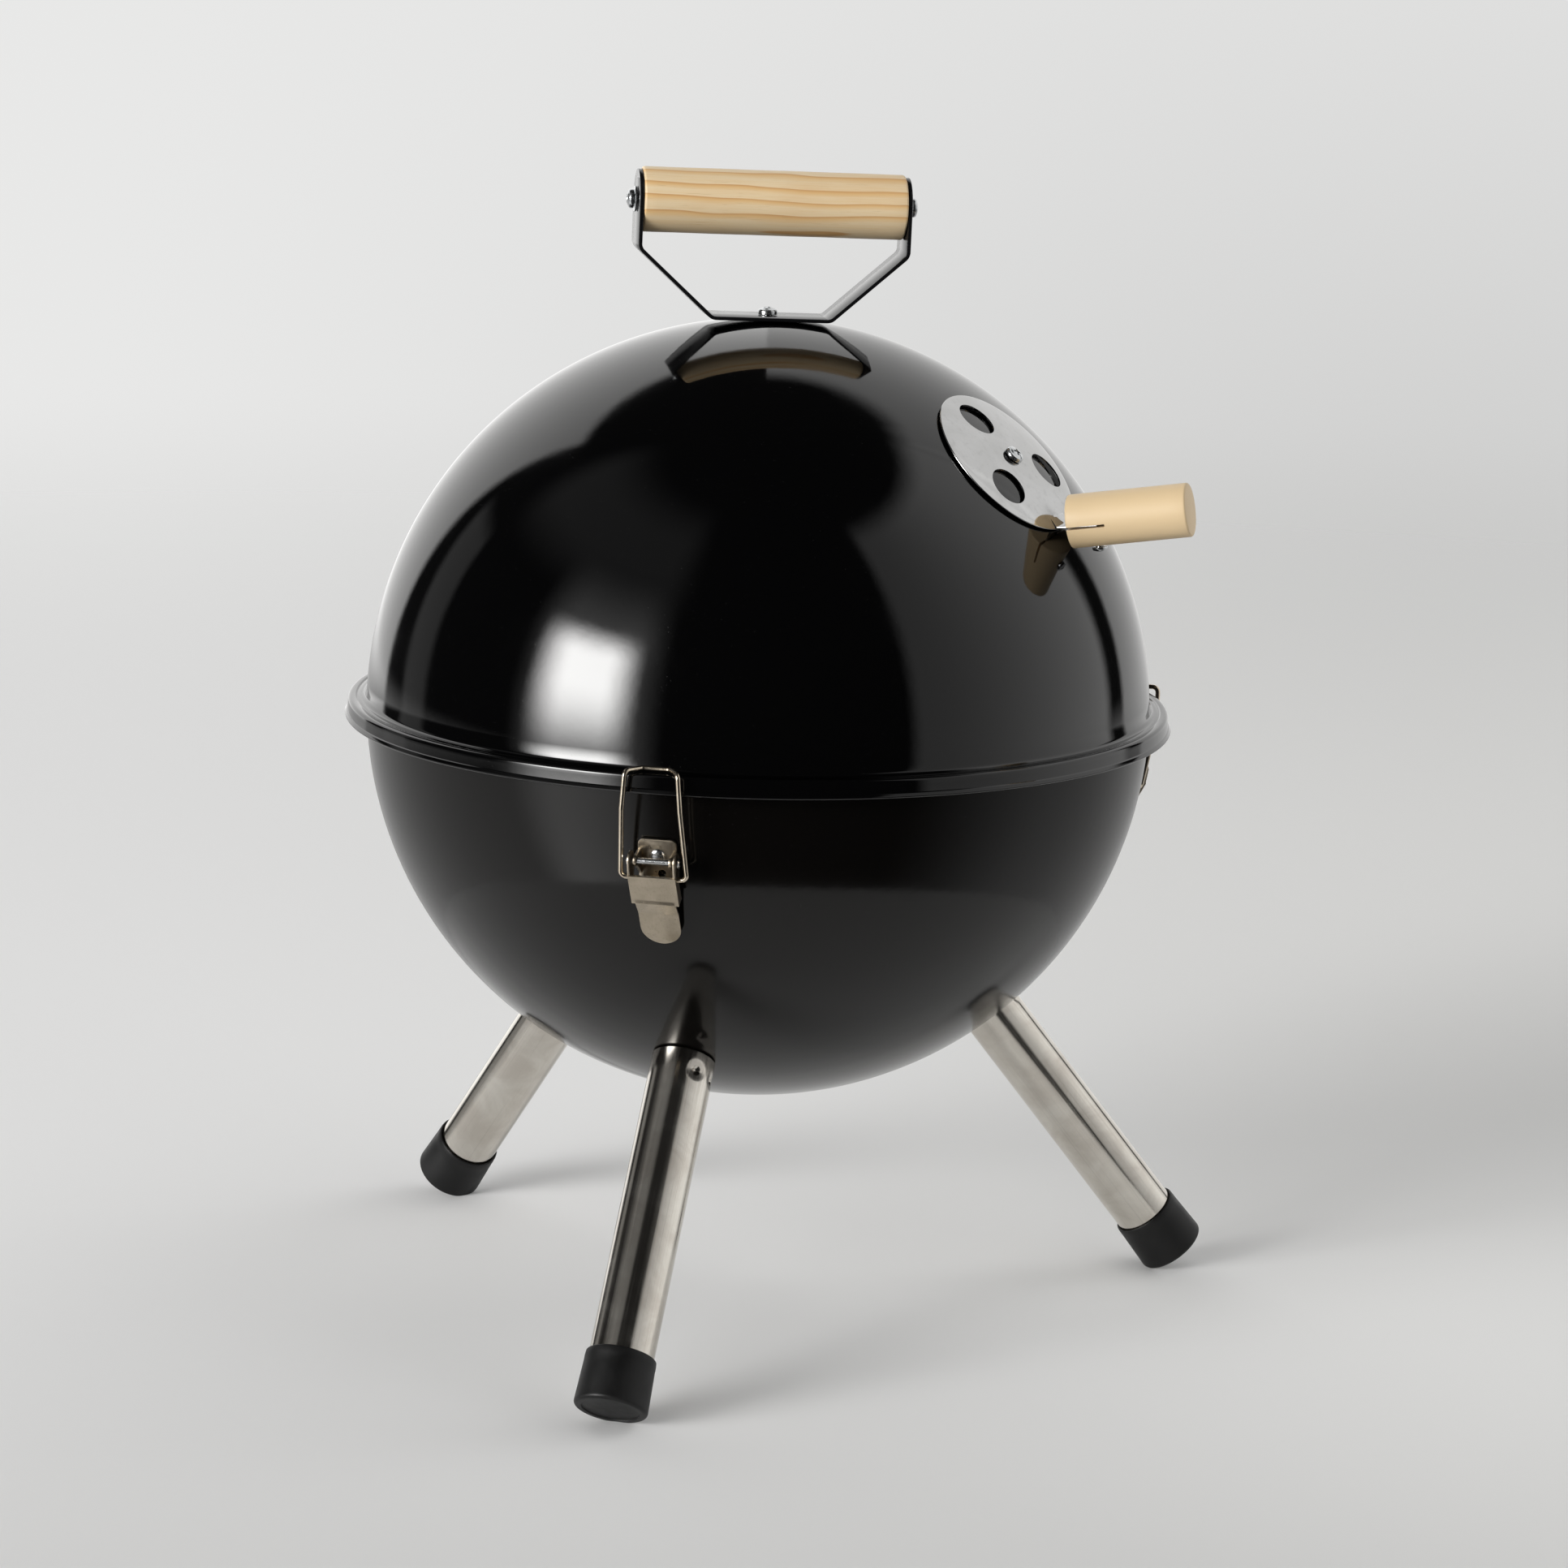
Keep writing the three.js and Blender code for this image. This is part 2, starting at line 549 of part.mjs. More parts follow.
function buildLegs() {
  for (let i = 0; i < LEG_COUNT; i += 1) {
    const group = legGroup(turnedGroup(bowlGroup, i * 2 * Math.PI / LEG_COUNT));
    const name = `leg_${i + 1}`;
    const tubeEnd = CAP_END - CAP_FLOOR - GAP;
    piece(group, `${name}_tube`, ring(TUBE_R - TUBE_WALL, TUBE_R, TUBE_TOP, tubeEnd, 20), stainless);

    const plugR = TUBE_R - TUBE_WALL - GAP;
    const plugTop = DOME_R + 0.4;
    piece(group, `${name}_plug`, turned([
      [0, plugTop + PLUG_BORE],
      [BOLT_R + 0.4, plugTop + PLUG_BORE],
      [BOLT_R + 0.4, plugTop],
      [plugR, plugTop],
      [plugR, plugTop + PLUG_LENGTH],
      [0, plugTop + PLUG_LENGTH],
    ], 16), satinBlack);

    const washerSeat = DOME_R - SHEET - INSIDE_GAP;
    const washer = ring(BOLT_R + 0.4, LEG_WASHER_R, washerSeat - WASHER_THICK, washerSeat, 18);
    piece(group, `${name}_washer`, washer, zinc);
    const head = new THREE.CylinderGeometry(BOLT_HEAD_R, BOLT_HEAD_R, BOLT_HEAD_HIGH, 6);
    const headTop = washerSeat - WASHER_THICK - GAP;
    head.rotateX(Math.PI / 2).translate(0, 0, headTop - BOLT_HEAD_HIGH / 2);
    const shank = disc(BOLT_R, headTop - 1, plugTop + PLUG_BORE - 1, 12);
    piece(group, `${name}_bolt`, join([head, shank]), zinc);

    const boreR = TUBE_R + GAP;
    const foot = turned([
      [0, CAP_END - CAP_FLOOR],
      [boreR, CAP_END - CAP_FLOOR],
      [boreR, CAP_TOP],
      [CAP_RIM_R, CAP_TOP],
      ...arc(CAP_FOOT_R - CAP_EDGE, CAP_END - CAP_EDGE, CAP_EDGE, 0, 90, 3),
      [0, CAP_END],
    ], 20);
    const ground = new THREE.BoxGeometry(80, 400, 40);
    ground.translate(0, -200, groundHeight() - 20);
    const toLeg = legMatrix().invert();
    piece(group, `${name}_foot`, cut(solid(foot), [ground.applyMatrix4(toLeg)]), rubber);
  }
}

// ---- draw clips ----------------------------------------------------------------------------
// A point of the bracket's plate: offset down along it, and height above its inner face.
function bracketPoint(offset, height) {
  const out = [Math.cos(BRACKET_ELEVATION), -Math.sin(BRACKET_ELEVATION)];
  const down = [out[1], -out[0]];
  const reach = DOME_R + GAP + height;
  return [reach * out[0] + offset * down[0], BOWL_Z + reach * out[1] + offset * down[1]];
}

// The rivet's frame: +Z out through the plate, its origin at the depth of the bowl's centre.
function rivetMatrix(offset) {
  const matrix = new THREE.Matrix4().makeRotationX(Math.PI / 2 + BRACKET_ELEVATION);
  const [out, up] = bracketPoint(offset, -DOME_R - GAP);
  return matrix.setPosition(0, -out, up);
}

function buildBracket(group, name) {
  const back = plate([
    bracketPoint(-BRACKET_HALF, 0),
    bracketPoint(BRACKET_HALF, 0),
    bracketPoint(BRACKET_HALF, SHEET),
    bracketPoint(-BRACKET_HALF, SHEET),
  ], -EAR_HALF, EAR_HALF);
  const around = arc(PIN[0], PIN[1], 2.2, -115, 100, 8);
  const earOutline = [bracketPoint(-9, SHEET / 2), bracketPoint(2, SHEET / 2), ...around];
  const ears = [
    plate(earOutline, -EAR_HALF, -EAR_HALF + SHEET),
    plate(earOutline, EAR_HALF - SHEET, EAR_HALF),
  ];
  const holes = RIVET_OFFSETS.map((offset) => {
    const rod = disc(RIVET_HOLE_R, 140, 180, 10);
    return rod.applyMatrix4(rivetMatrix(offset));
  });
  holes.push(crossRod(PIN_HOLE_R, PIN, -20, 20));
  piece(group, `${name}_bracket`, cut(join([back, ...ears]), holes), nickel);

  RIVET_OFFSETS.forEach((offset, row) => {
    const rivet = rivetBetween(DOME_R - SHEET - INSIDE_GAP, DOME_R + SHEET + 2 * GAP);
    rivet.applyMatrix4(rivetMatrix(offset));
    piece(group, `${name}_rivet_${row === 0 ? 'upper' : 'lower'}`, rivet, zinc);
  });

  const headX = LEVER_HALF + GAP;
  const pin = turned([
    [0, -headX - 0.8],
    [2, -headX - 0.8],
    [2, -headX],
    [PIN_R, -headX],
    [PIN_R, headX],
    [2, headX],
    [2, headX + 0.8],
    [0, headX + 0.8],
  ], 8).rotateY(Math.PI / 2).translate(0, -PIN[0], PIN[1]);
  piece(group, `${name}_pin`, pin, zinc);
}

// The lever: a plate that leans along the bowl, two folded sides, and a finger tab at its end.
function buildLever(group, name) {
  const corner = new THREE.Vector2(...LEVER_CORNER);
  const tip = new THREE.Vector2(...LEVER_TIP);
  const along = tip.clone().sub(corner).normalize();
  const inward = new THREE.Vector2(along.y, -along.x);
  const at = (run, depth) => {
    const point = corner.clone().addScaledVector(along, run).addScaledVector(inward, depth);
    return [point.x, point.y];
  };
  const length = corner.distanceTo(tip);
  const face = plate([
    at(0, 0), at(LEVER_STEP, 0), at(LEVER_STEP, LEVER_SHEET), at(0, LEVER_SHEET),
  ], -LEVER_HALF, LEVER_HALF);
  const tabLine = stripOutline([
    [LEVER_STEP - 2, LEVER_SHEET / 2],
    [LEVER_STEP, LEVER_SHEET / 2],
    [LEVER_STEP + JOGGLE_RUN, JOGGLE],
    [length, JOGGLE],
  ].map(([run, depth]) => new THREE.Vector2(run, depth)), LEVER_SHEET);
  const tabHalf = LEVER_HALF - 1.4;
  const tab = plate(tabLine.map((point) => at(point.x, point.y)), -tabHalf, tabHalf);
  const sideOutline = [
    at(0, 0.2),
    at(LEVER_STEP, 0.2),
    at(LEVER_STEP, LEVER_FOLD),
    ...arc(BAIL_PIVOT[0], BAIL_PIVOT[1], 2.9, 215, 175, 2),
    ...arc(PIN[0], PIN[1], 3.8, 165, 5, 6),
  ].reverse();
  const sides = [
    plate(sideOutline, -LEVER_HALF, -LEVER_HALF + LEVER_SHEET),
    plate(sideOutline, LEVER_HALF - LEVER_SHEET, LEVER_HALF),
  ];
  // The tab's free end is rounded by a tool with an arched edge.
  const endTool = new THREE.Shape([
    ...arc(0, 0, tabHalf, 180, 0, 10),
    [tabHalf + 2, 0],
    [tabHalf + 2, tabHalf + 4],
    [-tabHalf - 2, tabHalf + 4],
    [-tabHalf - 2, 0],
  ].map(([x, run]) => new THREE.Vector2(x, run)));
  const rounding = new THREE.ExtrudeGeometry(endTool, { depth: 20, bevelEnabled: false });
  rounding.translate(0, length - tabHalf, -10);
  const frame = new THREE.Matrix4().makeBasis(
    new THREE.Vector3(1, 0, 0),
    new THREE.Vector3(0, -along.x, along.y),
    new THREE.Vector3(0, -inward.x, inward.y),
  );
  frame.setPosition(0, -corner.x, corner.y);
  const holes = [
    rounding.applyMatrix4(frame),
    crossRod(PIN_HOLE_R, PIN, -20, 20),
    crossRod(WIRE_R + GAP, BAIL_PIVOT, -20, 20, 10),
  ];
  piece(group, `${name}_lever`, cut(join([face, tab, ...sides]), holes), nickel);
}

function buildBail(group, name) {
  const inside = EAR_HALF + GAP;
  const half = [
    [inside, ...BAIL_PIVOT],
    [13, ...BAIL_PIVOT],
    [11.4, 170.6, -8.5],
    [10.3, 171, HOOK_Z],
    [5.5, 163.4, HOOK_Z],
  ].map(([x, out, up]) => new THREE.Vector3(x, -out, up));
  const mirrored = half.map((point) => new THREE.Vector3(-point.x, point.y, point.z)).reverse();
  piece(group, `${name}_bail`, wire([...half, ...mirrored], WIRE_R, 2.2), nickel);
}

function buildClips() {
  for (let i = 0; i < LEG_COUNT; i += 1) {
    const group = turnedGroup(bowlGroup, CLIP_TURN + i * 2 * Math.PI / LEG_COUNT);
    const name = `clip_${i + 1}`;
    buildBracket(group, name);
    buildLever(group, name);
    buildBail(group, name);
  }
}

// ---- inside the bowl -----------------------------------------------------------------------
function buildGrateBrackets() {
  const wall = (up) => Math.sqrt((DOME_R - SHEET) ** 2 - (up - BOWL_Z) ** 2) - 0.7;
  const shelf = GRATE_Z - RING_WIRE_R - GAP;
  const foot = shelf - 17;
  for (let i = 0; i < LEG_COUNT; i += 1) {
    const group = turnedGroup(bowlGroup, (i + 0.5) * 2 * Math.PI / LEG_COUNT);
    const bracket = plate([
      [143, shelf],
      [143, shelf - SHEET],
      [wall(shelf) - SHEET - 0.6, shelf - SHEET],
      [wall(foot) - SHEET, foot],
      [wall(foot), foot],
      [wall(shelf), shelf],
    ], -6, 6);
    piece(group, `grate_bracket_${i + 1}`, bracket, galvanised);
  }
}

// A round wire grate: a ring, parallel bars, and two bars below and across them.
function grate(ringRadius, ringWire, barWire, pitch, bars) {
  const section = arc(ringRadius, 0, ringWire, 0, 360, 5);
  const body = [turned(section, 36)];
  const bar = (place, z) => {
    const half = Math.sqrt(ringRadius ** 2 - place ** 2);
    const rod = new THREE.CylinderGeometry(barWire, barWire, 2 * half, 5);
    return rod.translate(place, 0, z);
  };
  for (let i = 0; i < bars; i += 1) body.push(bar((i - (bars - 1) / 2) * pitch, 0));
  for (const side of [-1, 1]) {
    body.push(bar(side * ringRadius * 0.25, -barWire * 1.2).rotateZ(Math.PI / 2));
  }
  return join(body);
}

function buildGrates() {
  const cooking = grate(GRATE_RING_R, RING_WIRE_R, 1.5, 16, 17);
  piece(bowlGroup, 'cooking_grate', cooking, chrome).position.z = GRATE_Z;
  const coal = grate(COAL_RING_R, 2, 2, 20, 9);
  piece(bowlGroup, 'charcoal_grate', coal, galvanised).position.z = COAL_Z;
}

// A small plate inside the bottom of the bowl opens and shuts three air holes.
function buildFloorVent() {
  const floorR = DOME_R - SHEET - INSIDE_GAP;
  const spread = THREE.MathUtils.radToDeg(Math.asin(FLOOR_VENT_R / floorR));
  const under = arc(0, BOWL_Z, floorR, -90, -90 + spread, 3);
  const top = arc(0, BOWL_Z, floorR - 1, -90 + spread, -90, 3);
  under[0][0] = 0;
  top[3][0] = 0;
  const dish = turned([...under, ...top], 24);
  const tabZ = BOWL_Z - floorR + 2;
  const tab = new THREE.BoxGeometry(1, 12, 12).translate(20, 0, tabZ + 5);
  const holes = [
    ...ventRods(FLOOR_HOLE_R, FLOOR_RING_R, Math.PI / 6, -180, -140),
    disc(SCREW_HOLE_R, -180, -140, 12),
  ];
  const body = cut(solid(dish), holes).add(solid(tab));
  piece(bowlGroup, 'bottom_damper_disc', body, galvanised);
  const headSeat = BOWL_Z - floorR + 1 + GAP;
  const rivet = rivetBetween(BOWL_Z - DOME_R - GAP, headSeat, 2, 3.4, 1);
  piece(bowlGroup, 'bottom_damper_rivet', rivet, zinc);
}

buildLid();
buildHandle();
buildDamper();
buildBowl();
buildLegs();
buildClips();
buildGrateBrackets();
buildGrates();
buildFloorVent();

grill.updateMatrixWorld(true);
const box = new THREE.Box3().setFromObject(grill, true);
const middle = box.getCenter(new THREE.Vector3());
grill.position.set(-middle.x, -middle.y, -box.min.z);

export default grill;
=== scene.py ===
# %% [markdown]
# # A small kettle charcoal grill
# The real grill is two enamelled half spheres on three steel tubes. The lid is held by draw clips
# and carries a wooden handle and a turning air damper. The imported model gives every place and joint,
# so this lesson only makes the surfaces that are seen, at the same places, in finer form.

# %% Load the frame
import json
from math import atan2, cos, pi, radians, sin, sqrt, tan

import bmesh
import bpy
from mathutils import Matrix, Vector


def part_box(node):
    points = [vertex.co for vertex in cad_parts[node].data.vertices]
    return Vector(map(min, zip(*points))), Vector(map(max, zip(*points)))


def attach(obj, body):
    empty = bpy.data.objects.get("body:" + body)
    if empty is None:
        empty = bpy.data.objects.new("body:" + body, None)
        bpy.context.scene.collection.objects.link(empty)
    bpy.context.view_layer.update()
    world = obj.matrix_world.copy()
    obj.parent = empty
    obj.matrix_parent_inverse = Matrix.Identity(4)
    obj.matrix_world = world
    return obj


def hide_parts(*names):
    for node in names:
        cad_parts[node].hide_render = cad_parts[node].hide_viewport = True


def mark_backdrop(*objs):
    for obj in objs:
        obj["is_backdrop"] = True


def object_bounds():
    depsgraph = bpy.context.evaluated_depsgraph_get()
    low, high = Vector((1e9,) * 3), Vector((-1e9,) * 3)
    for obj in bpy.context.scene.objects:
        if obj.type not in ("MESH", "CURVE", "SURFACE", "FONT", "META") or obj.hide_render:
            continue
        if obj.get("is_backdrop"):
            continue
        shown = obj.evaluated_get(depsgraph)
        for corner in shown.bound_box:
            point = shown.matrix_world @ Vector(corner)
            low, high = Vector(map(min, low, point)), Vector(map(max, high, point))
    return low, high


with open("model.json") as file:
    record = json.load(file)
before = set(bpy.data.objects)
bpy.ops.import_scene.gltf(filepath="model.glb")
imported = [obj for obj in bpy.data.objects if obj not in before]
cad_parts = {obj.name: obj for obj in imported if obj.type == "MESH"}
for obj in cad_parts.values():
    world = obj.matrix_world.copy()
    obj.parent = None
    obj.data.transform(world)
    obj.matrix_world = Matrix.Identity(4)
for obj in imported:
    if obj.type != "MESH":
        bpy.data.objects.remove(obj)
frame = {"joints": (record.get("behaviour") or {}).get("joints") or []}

cad_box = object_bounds()
print("box of the packed model:", [tuple(round(v, 4) for v in corner) for corner in cad_box])

# %% [markdown]
# ## One origin for everything
# The kettle is easiest to draw from the centre of the lid's sphere, in millimetres, because nearly
# every part is turned about one upright axis. The bowl's box gives that axis, and its upper edge
# is a known distance above the centre of the sphere.

# %% The kettle's own origin
MM = 0.001
DOME_R = 160.0
SHEET = 1.2
BOWL_Z = 2.4
BOWL_EDGE_Z = 3.2
LEDGE_Z = 4.7
THIRD = 2 * pi / 3

bowl_low, bowl_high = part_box("bowl_shell")
HEART = Vector((
    (bowl_low.x + bowl_high.x) / 2,
    (bowl_low.y + bowl_high.y) / 2,
    bowl_high.z - BOWL_EDGE_Z * MM,
))
TO_ROW = Matrix.Translation(HEART) @ Matrix.Scale(MM, 4)
print("centre of the lid's sphere:", [round(v, 4) for v in HEART])

# %% [markdown]
# ## Wires between nodes
# Materials and Geometry Nodes are both graphs. A small class wraps an output socket, so that a sum
# of values is written as a sum, and one method adds any other node. Settings such as an operation
# come first, because they decide which sockets a node has.


# %% A wire and a sheet of nodes
class Wire:
    """One output socket; arithmetic on it adds Math nodes to its sheet."""

    def __init__(self, sheet, socket):
        self.sheet = sheet
        self.socket = socket

    def math(self, operation, other=0.0, swap=False):
        first, second = (other, self) if swap else (self, other)
        return self.sheet.node("ShaderNodeMath", {"operation": operation}, {0: first, 1: second})

    def __add__(self, other):
        return self.math("ADD", other)

    def __sub__(self, other):
        return self.math("SUBTRACT", other)

    def __mul__(self, other):
        return self.math("MULTIPLY", other)

    def __truediv__(self, other):
        return self.math("DIVIDE", other)

    def __radd__(self, other):
        return self.math("ADD", other, swap=True)

    def __rsub__(self, other):
        return self.math("SUBTRACT", other, swap=True)

    def __rmul__(self, other):
        return self.math("MULTIPLY", other, swap=True)

    def ramp(self, low, high, to_low=0.0, to_high=1.0):
        """A smooth step from low to high, clamped at both ends."""
        settings = {"interpolation_type": "SMOOTHSTEP"}
        values = {"Value": self, "From Min": low, "From Max": high, "To Min": to_low, "To Max": to_high}
        return self.sheet.node("ShaderNodeMapRange", settings, values)


class Sheet:
    """A node tree that is filled by one method."""

    def __init__(self, tree):
        self.tree = tree

    def node(self, kind, settings=None, values=None, out=0):
        made = self.tree.nodes.new(kind)
        for name, value in (settings or {}).items():
            if name == "stops":
                for spare in list(made.color_ramp.elements)[1:]:
                    made.color_ramp.elements.remove(spare)
                made.color_ramp.elements[0].position = value[0][0]
                made.color_ramp.elements[0].color = (*value[0][1], 1)
                for place, color in value[1:]:
                    made.color_ramp.elements.new(place).color = (*color, 1)
            else:
                setattr(made, name, value)
        for key, value in (values or {}).items():
            socket = made.inputs[key]
            if isinstance(value, Wire):
                self.tree.links.new(value.socket, socket)
            else:
                socket.default_value = value
        return Wire(self, made.outputs[out]) if len(made.outputs) else made


# %% [markdown]
# ## Patterns that all finishes share
# A pattern is placed either on the object's coordinates, in metres, or on the piece's own drawing
# coordinates, which each wooden or drawn-tube piece carries as an attribute in millimetres. The
# second kind follows the grain of a piece however it is turned.


# %% Pattern helpers
def object_place(sheet):
    return sheet.node("ShaderNodeTexCoord", out=3)


def own_place(sheet):
    return sheet.node("ShaderNodeAttribute", {"attribute_name": "own"}, out=1)


def stretched(sheet, place, scale, shift=(0, 0, 0)):
    return sheet.node("ShaderNodeMapping", None, {0: place, "Location": shift, "Scale": scale})


def noise(sheet, place, scale, detail=3.0, roughness=0.5, distortion=0.0):
    values = {"Vector": place, "Scale": scale, "Detail": detail,
              "Roughness": roughness, "Distortion": distortion}
    return sheet.node("ShaderNodeTexNoise", None, values)


def mixed(sheet, factor, first, second):
    made = sheet.tree.nodes.new("ShaderNodeMix")
    made.data_type = "RGBA"
    for index, value in ((0, factor), (6, first), (7, second)):
        if isinstance(value, Wire):
            sheet.tree.links.new(value.socket, made.inputs[index])
        elif index:
            made.inputs[index].default_value = (*value, 1)
        else:
            made.inputs[index].default_value = value
    return Wire(sheet, made.outputs[2])


def bumped(sheet, height, strength, distance):
    values = {"Strength": strength, "Distance": distance, "Height": height}
    return sheet.node("ShaderNodeBump", None, values)


def new_finish(name):
    material = bpy.data.materials.new(name)
    material.use_nodes = True
    material.node_tree.nodes.clear()
    return material, Sheet(material.node_tree)


def shade(sheet, **values):
    """The Principled shader and the output; a keyword's underscores stand for spaces."""
    named = {key.replace("_", " "): value for key, value in values.items()}
    shader = sheet.node("ShaderNodeBsdfPrincipled", None, named)
    sheet.node("ShaderNodeOutputMaterial", None, {"Surface": shader})


# %% [markdown]
# ## Black enamel
# Enamel is glass on steel: very dark, very glossy, and never quite flat. It shows a faint
# orange-peel ripple a few millimetres across, soft smears where it was wiped, and specks of dust.


# %% Enamel
def enamel(name, color, gloss, peel, ior=1.52):
    material, sheet = new_finish(name)
    place = object_place(sheet)
    ripple = noise(sheet, place, 190.0, 2.0)
    smear = noise(sheet, place, 14.0, 5.0, 0.62, 0.8)
    dust = noise(sheet, place, 1500.0, 1.0).ramp(0.76, 0.8)
    tone = mixed(sheet, dust * 0.5, color, (0.02, 0.02, 0.02))
    shade(
        sheet,
        Base_Color=tone,
        Roughness=smear.ramp(0.35, 0.75, gloss, gloss + 0.07) + dust * 0.2,
        IOR=ior,
        Normal=bumped(sheet, ripple, peel, 0.0002),
    )
    return material


LID_ENAMEL = enamel("lid_enamel", (0.0006, 0.0006, 0.0007), 0.035, 0.06)
BOWL_ENAMEL = enamel("bowl_enamel", (0.0020, 0.0017, 0.0015), 0.10, 0.09, 1.40)
STRAP_BLACK = enamel("black_strap", (0.004, 0.004, 0.0045), 0.16, 0.16)
print("enamels:", LID_ENAMEL.name, BOWL_ENAMEL.name, STRAP_BLACK.name)

# %% [markdown]
# ## Pine
# A dowel is cut along the trunk, so year rings run along it as lines and show as arcs on its ends.
# Rings round a pith that lies outside the dowel give both from one pattern. Dense latewood gives
# the orange lines, and fine fibres stretched along the grain break up the rest.


# %% Wood
def wood(name, pale, line, deep, ring_mm, pith, extra=None):
    material, sheet = new_finish(name)
    place = own_place(sheet)
    sway = noise(sheet, stretched(sheet, place, (0.012, 0.05, 0.05)), 1.0, 2.0)
    lifted = sheet.node("ShaderNodeVectorMath", {"operation": "ADD"}, {0: place, 1: pith})
    drift = {"Y": (sway - 0.5) * 9.0, "Z": (sway - 0.5) * 5.0}
    offset = sheet.node("ShaderNodeCombineXYZ", None, drift)
    around = sheet.node("ShaderNodeVectorMath", {"operation": "ADD"}, {0: lifted, 1: offset})
    rings = sheet.node(
        "ShaderNodeTexWave",
        {"wave_type": "RINGS", "rings_direction": "X", "wave_profile": "SAW"},
        {"Vector": around, "Scale": 0.314 / ring_mm, "Distortion": 1.5, "Detail": 2.0, "Detail Scale": 0.3},
        out=1,
    )
    stops = [(0.0, pale), (0.5, pale), (0.82, line), (0.96, deep), (1.0, pale)]
    rings_color = sheet.node("ShaderNodeValToRGB", {"stops": stops}, {0: rings})
    fibre = noise(sheet, stretched(sheet, place, (0.035, 1.3, 1.3)), 1.0, 5.0, 0.7)
    pores = noise(sheet, stretched(sheet, place, (0.09, 3.4, 3.4)), 1.0, 2.0, 0.6)
    cloud = noise(sheet, stretched(sheet, place, (0.02, 0.06, 0.06)), 1.0, 3.0)
    tone = mixed(sheet, fibre.ramp(0.35, 0.75, 0.0, 0.35), rings_color, line)
    tone = mixed(sheet, cloud.ramp(0.45, 0.8, 0.0, 0.3), tone, deep)
    tone = mixed(sheet, pores.ramp(0.62, 0.78, 0.0, 0.45), tone, tuple(v * 0.5 for v in deep))
    if extra:
        tone = extra(sheet, place, tone)
    shade(
        sheet,
        Base_Color=tone,
        Roughness=fibre.ramp(0.3, 0.8, 0.42, 0.6),
        Normal=bumped(sheet, fibre * 0.6 + pores * 0.4, 0.22, 0.0002),
    )
    return material


KERF_DROP = 1.4
KERF_WIDTH = 1.1
KERF_DEPTH = 15.5
# Dark brown painted into and along the saw cut as shade.
CUT_SHADE = (0.05, 0.025, 0.01)
KNOT_PLACE = (33.0, -10.0, -1.0)
KNOT_BROWN = (0.42, 0.2, 0.07)


def cut_shade_and_knot(sheet, place, tone):
    """Painted shade darkens the wood in and along the saw cut, and a small knot shows on one side."""
    along = sheet.node("ShaderNodeSeparateXYZ", None, {0: place})
    across = sheet.node("ShaderNodeSeparateXYZ", None, {0: place}, out=2)
    # Painted shade: the saw cut's walls and a thin band at its edges, down to the cut's depth.
    near = (across + KERF_DROP).math("ABSOLUTE").ramp(0.57, 0.85, 1.0, 0.0)
    deep_in = along.ramp(KERF_DEPTH, KERF_DEPTH + 0.8, 0.75, 0.0)
    tone = mixed(sheet, near * deep_in, tone, CUT_SHADE)
    reach = {0: place, 1: KNOT_PLACE}
    reach = sheet.node("ShaderNodeVectorMath", {"operation": "DISTANCE"}, reach, out=1)
    return mixed(sheet, reach.ramp(1.1, 2.6, 0.6, 0.0), tone, KNOT_BROWN)


GRIP_WOOD = wood(
    "grip_wood", (0.67, 0.53, 0.34), (0.62, 0.40, 0.18), (0.50, 0.27, 0.10),
    ring_mm=5.4, pith=(0, 26, 44),
)
KNOB_WOOD = wood(
    "knob_wood", (0.60, 0.46, 0.28), (0.48, 0.31, 0.145), (0.38, 0.22, 0.09),
    ring_mm=2.6, pith=(0, -40, 30), extra=cut_shade_and_knot,
)
print("woods:", GRIP_WOOD.name, KNOB_WOOD.name)

# %% [markdown]
# ## Bright metals
# Polished steel is seen only by what it mirrors, so its finish is in its roughness. Drawn tube
# has fine lengthwise marks and cloudy handling stains, plated sheet is soft and warm, and chrome is
# nearly a mirror.


# %% Metals
def metal(name, low, high, gloss, spread, grain, blotch, peel=0.05, own=False):
    material, sheet = new_finish(name)
    place = own_place(sheet) if own else object_place(sheet)
    unit = 1.0 if own else 1000.0
    streak = noise(sheet, stretched(sheet, place, tuple(g * unit for g in grain)), 1.0, 4.0, 0.6)
    cloud = noise(sheet, place, blotch * unit, 5.0, 0.6, 0.6)
    tone = mixed(sheet, cloud.ramp(0.3, 0.72), low, high)
    tone = mixed(sheet, streak.ramp(0.5, 0.75, 0.0, 0.3), tone, tuple(v * 0.7 for v in low))
    stain = cloud.ramp(0.5, 0.8, 0.0, spread * 0.6)
    shade(
        sheet,
        Base_Color=tone,
        Metallic=1.0,
        Roughness=streak.ramp(0.3, 0.7, gloss, gloss + spread) + stain,
        Normal=bumped(sheet, streak, peel, 0.0001),
    )
    return material


CHROME = metal(
    "chrome_plate", (0.46, 0.46, 0.455), (0.54, 0.54, 0.54),
    gloss=0.035, spread=0.04, grain=(0.3, 0.3, 0.3), blotch=0.03, peel=0.02,
)
WIRE_CHROME = metal(
    "chrome_wire", (0.58, 0.59, 0.61), (0.7, 0.71, 0.73),
    gloss=0.16, spread=0.12, grain=(0.6, 0.6, 0.6), blotch=0.05,
)
ZINC = metal(
    "zinc_steel", (0.55, 0.57, 0.58), (0.68, 0.69, 0.7),
    gloss=0.16, spread=0.12, grain=(1.2, 1.2, 1.2), blotch=0.3, peel=0.12,
)
TUBE_STEEL = metal(
    "stainless_tube", (0.56, 0.52, 0.465), (0.70, 0.67, 0.61),
    gloss=0.08, spread=0.15, grain=(2.0, 2.0, 0.012), blotch=0.05, peel=0.02, own=True,
)
NICKEL = metal(
    "nickel_sheet", (0.43, 0.37, 0.285), (0.51, 0.44, 0.345),
    gloss=0.27, spread=0.1, grain=(0.9, 0.9, 0.25), blotch=0.11, peel=0.1,
)
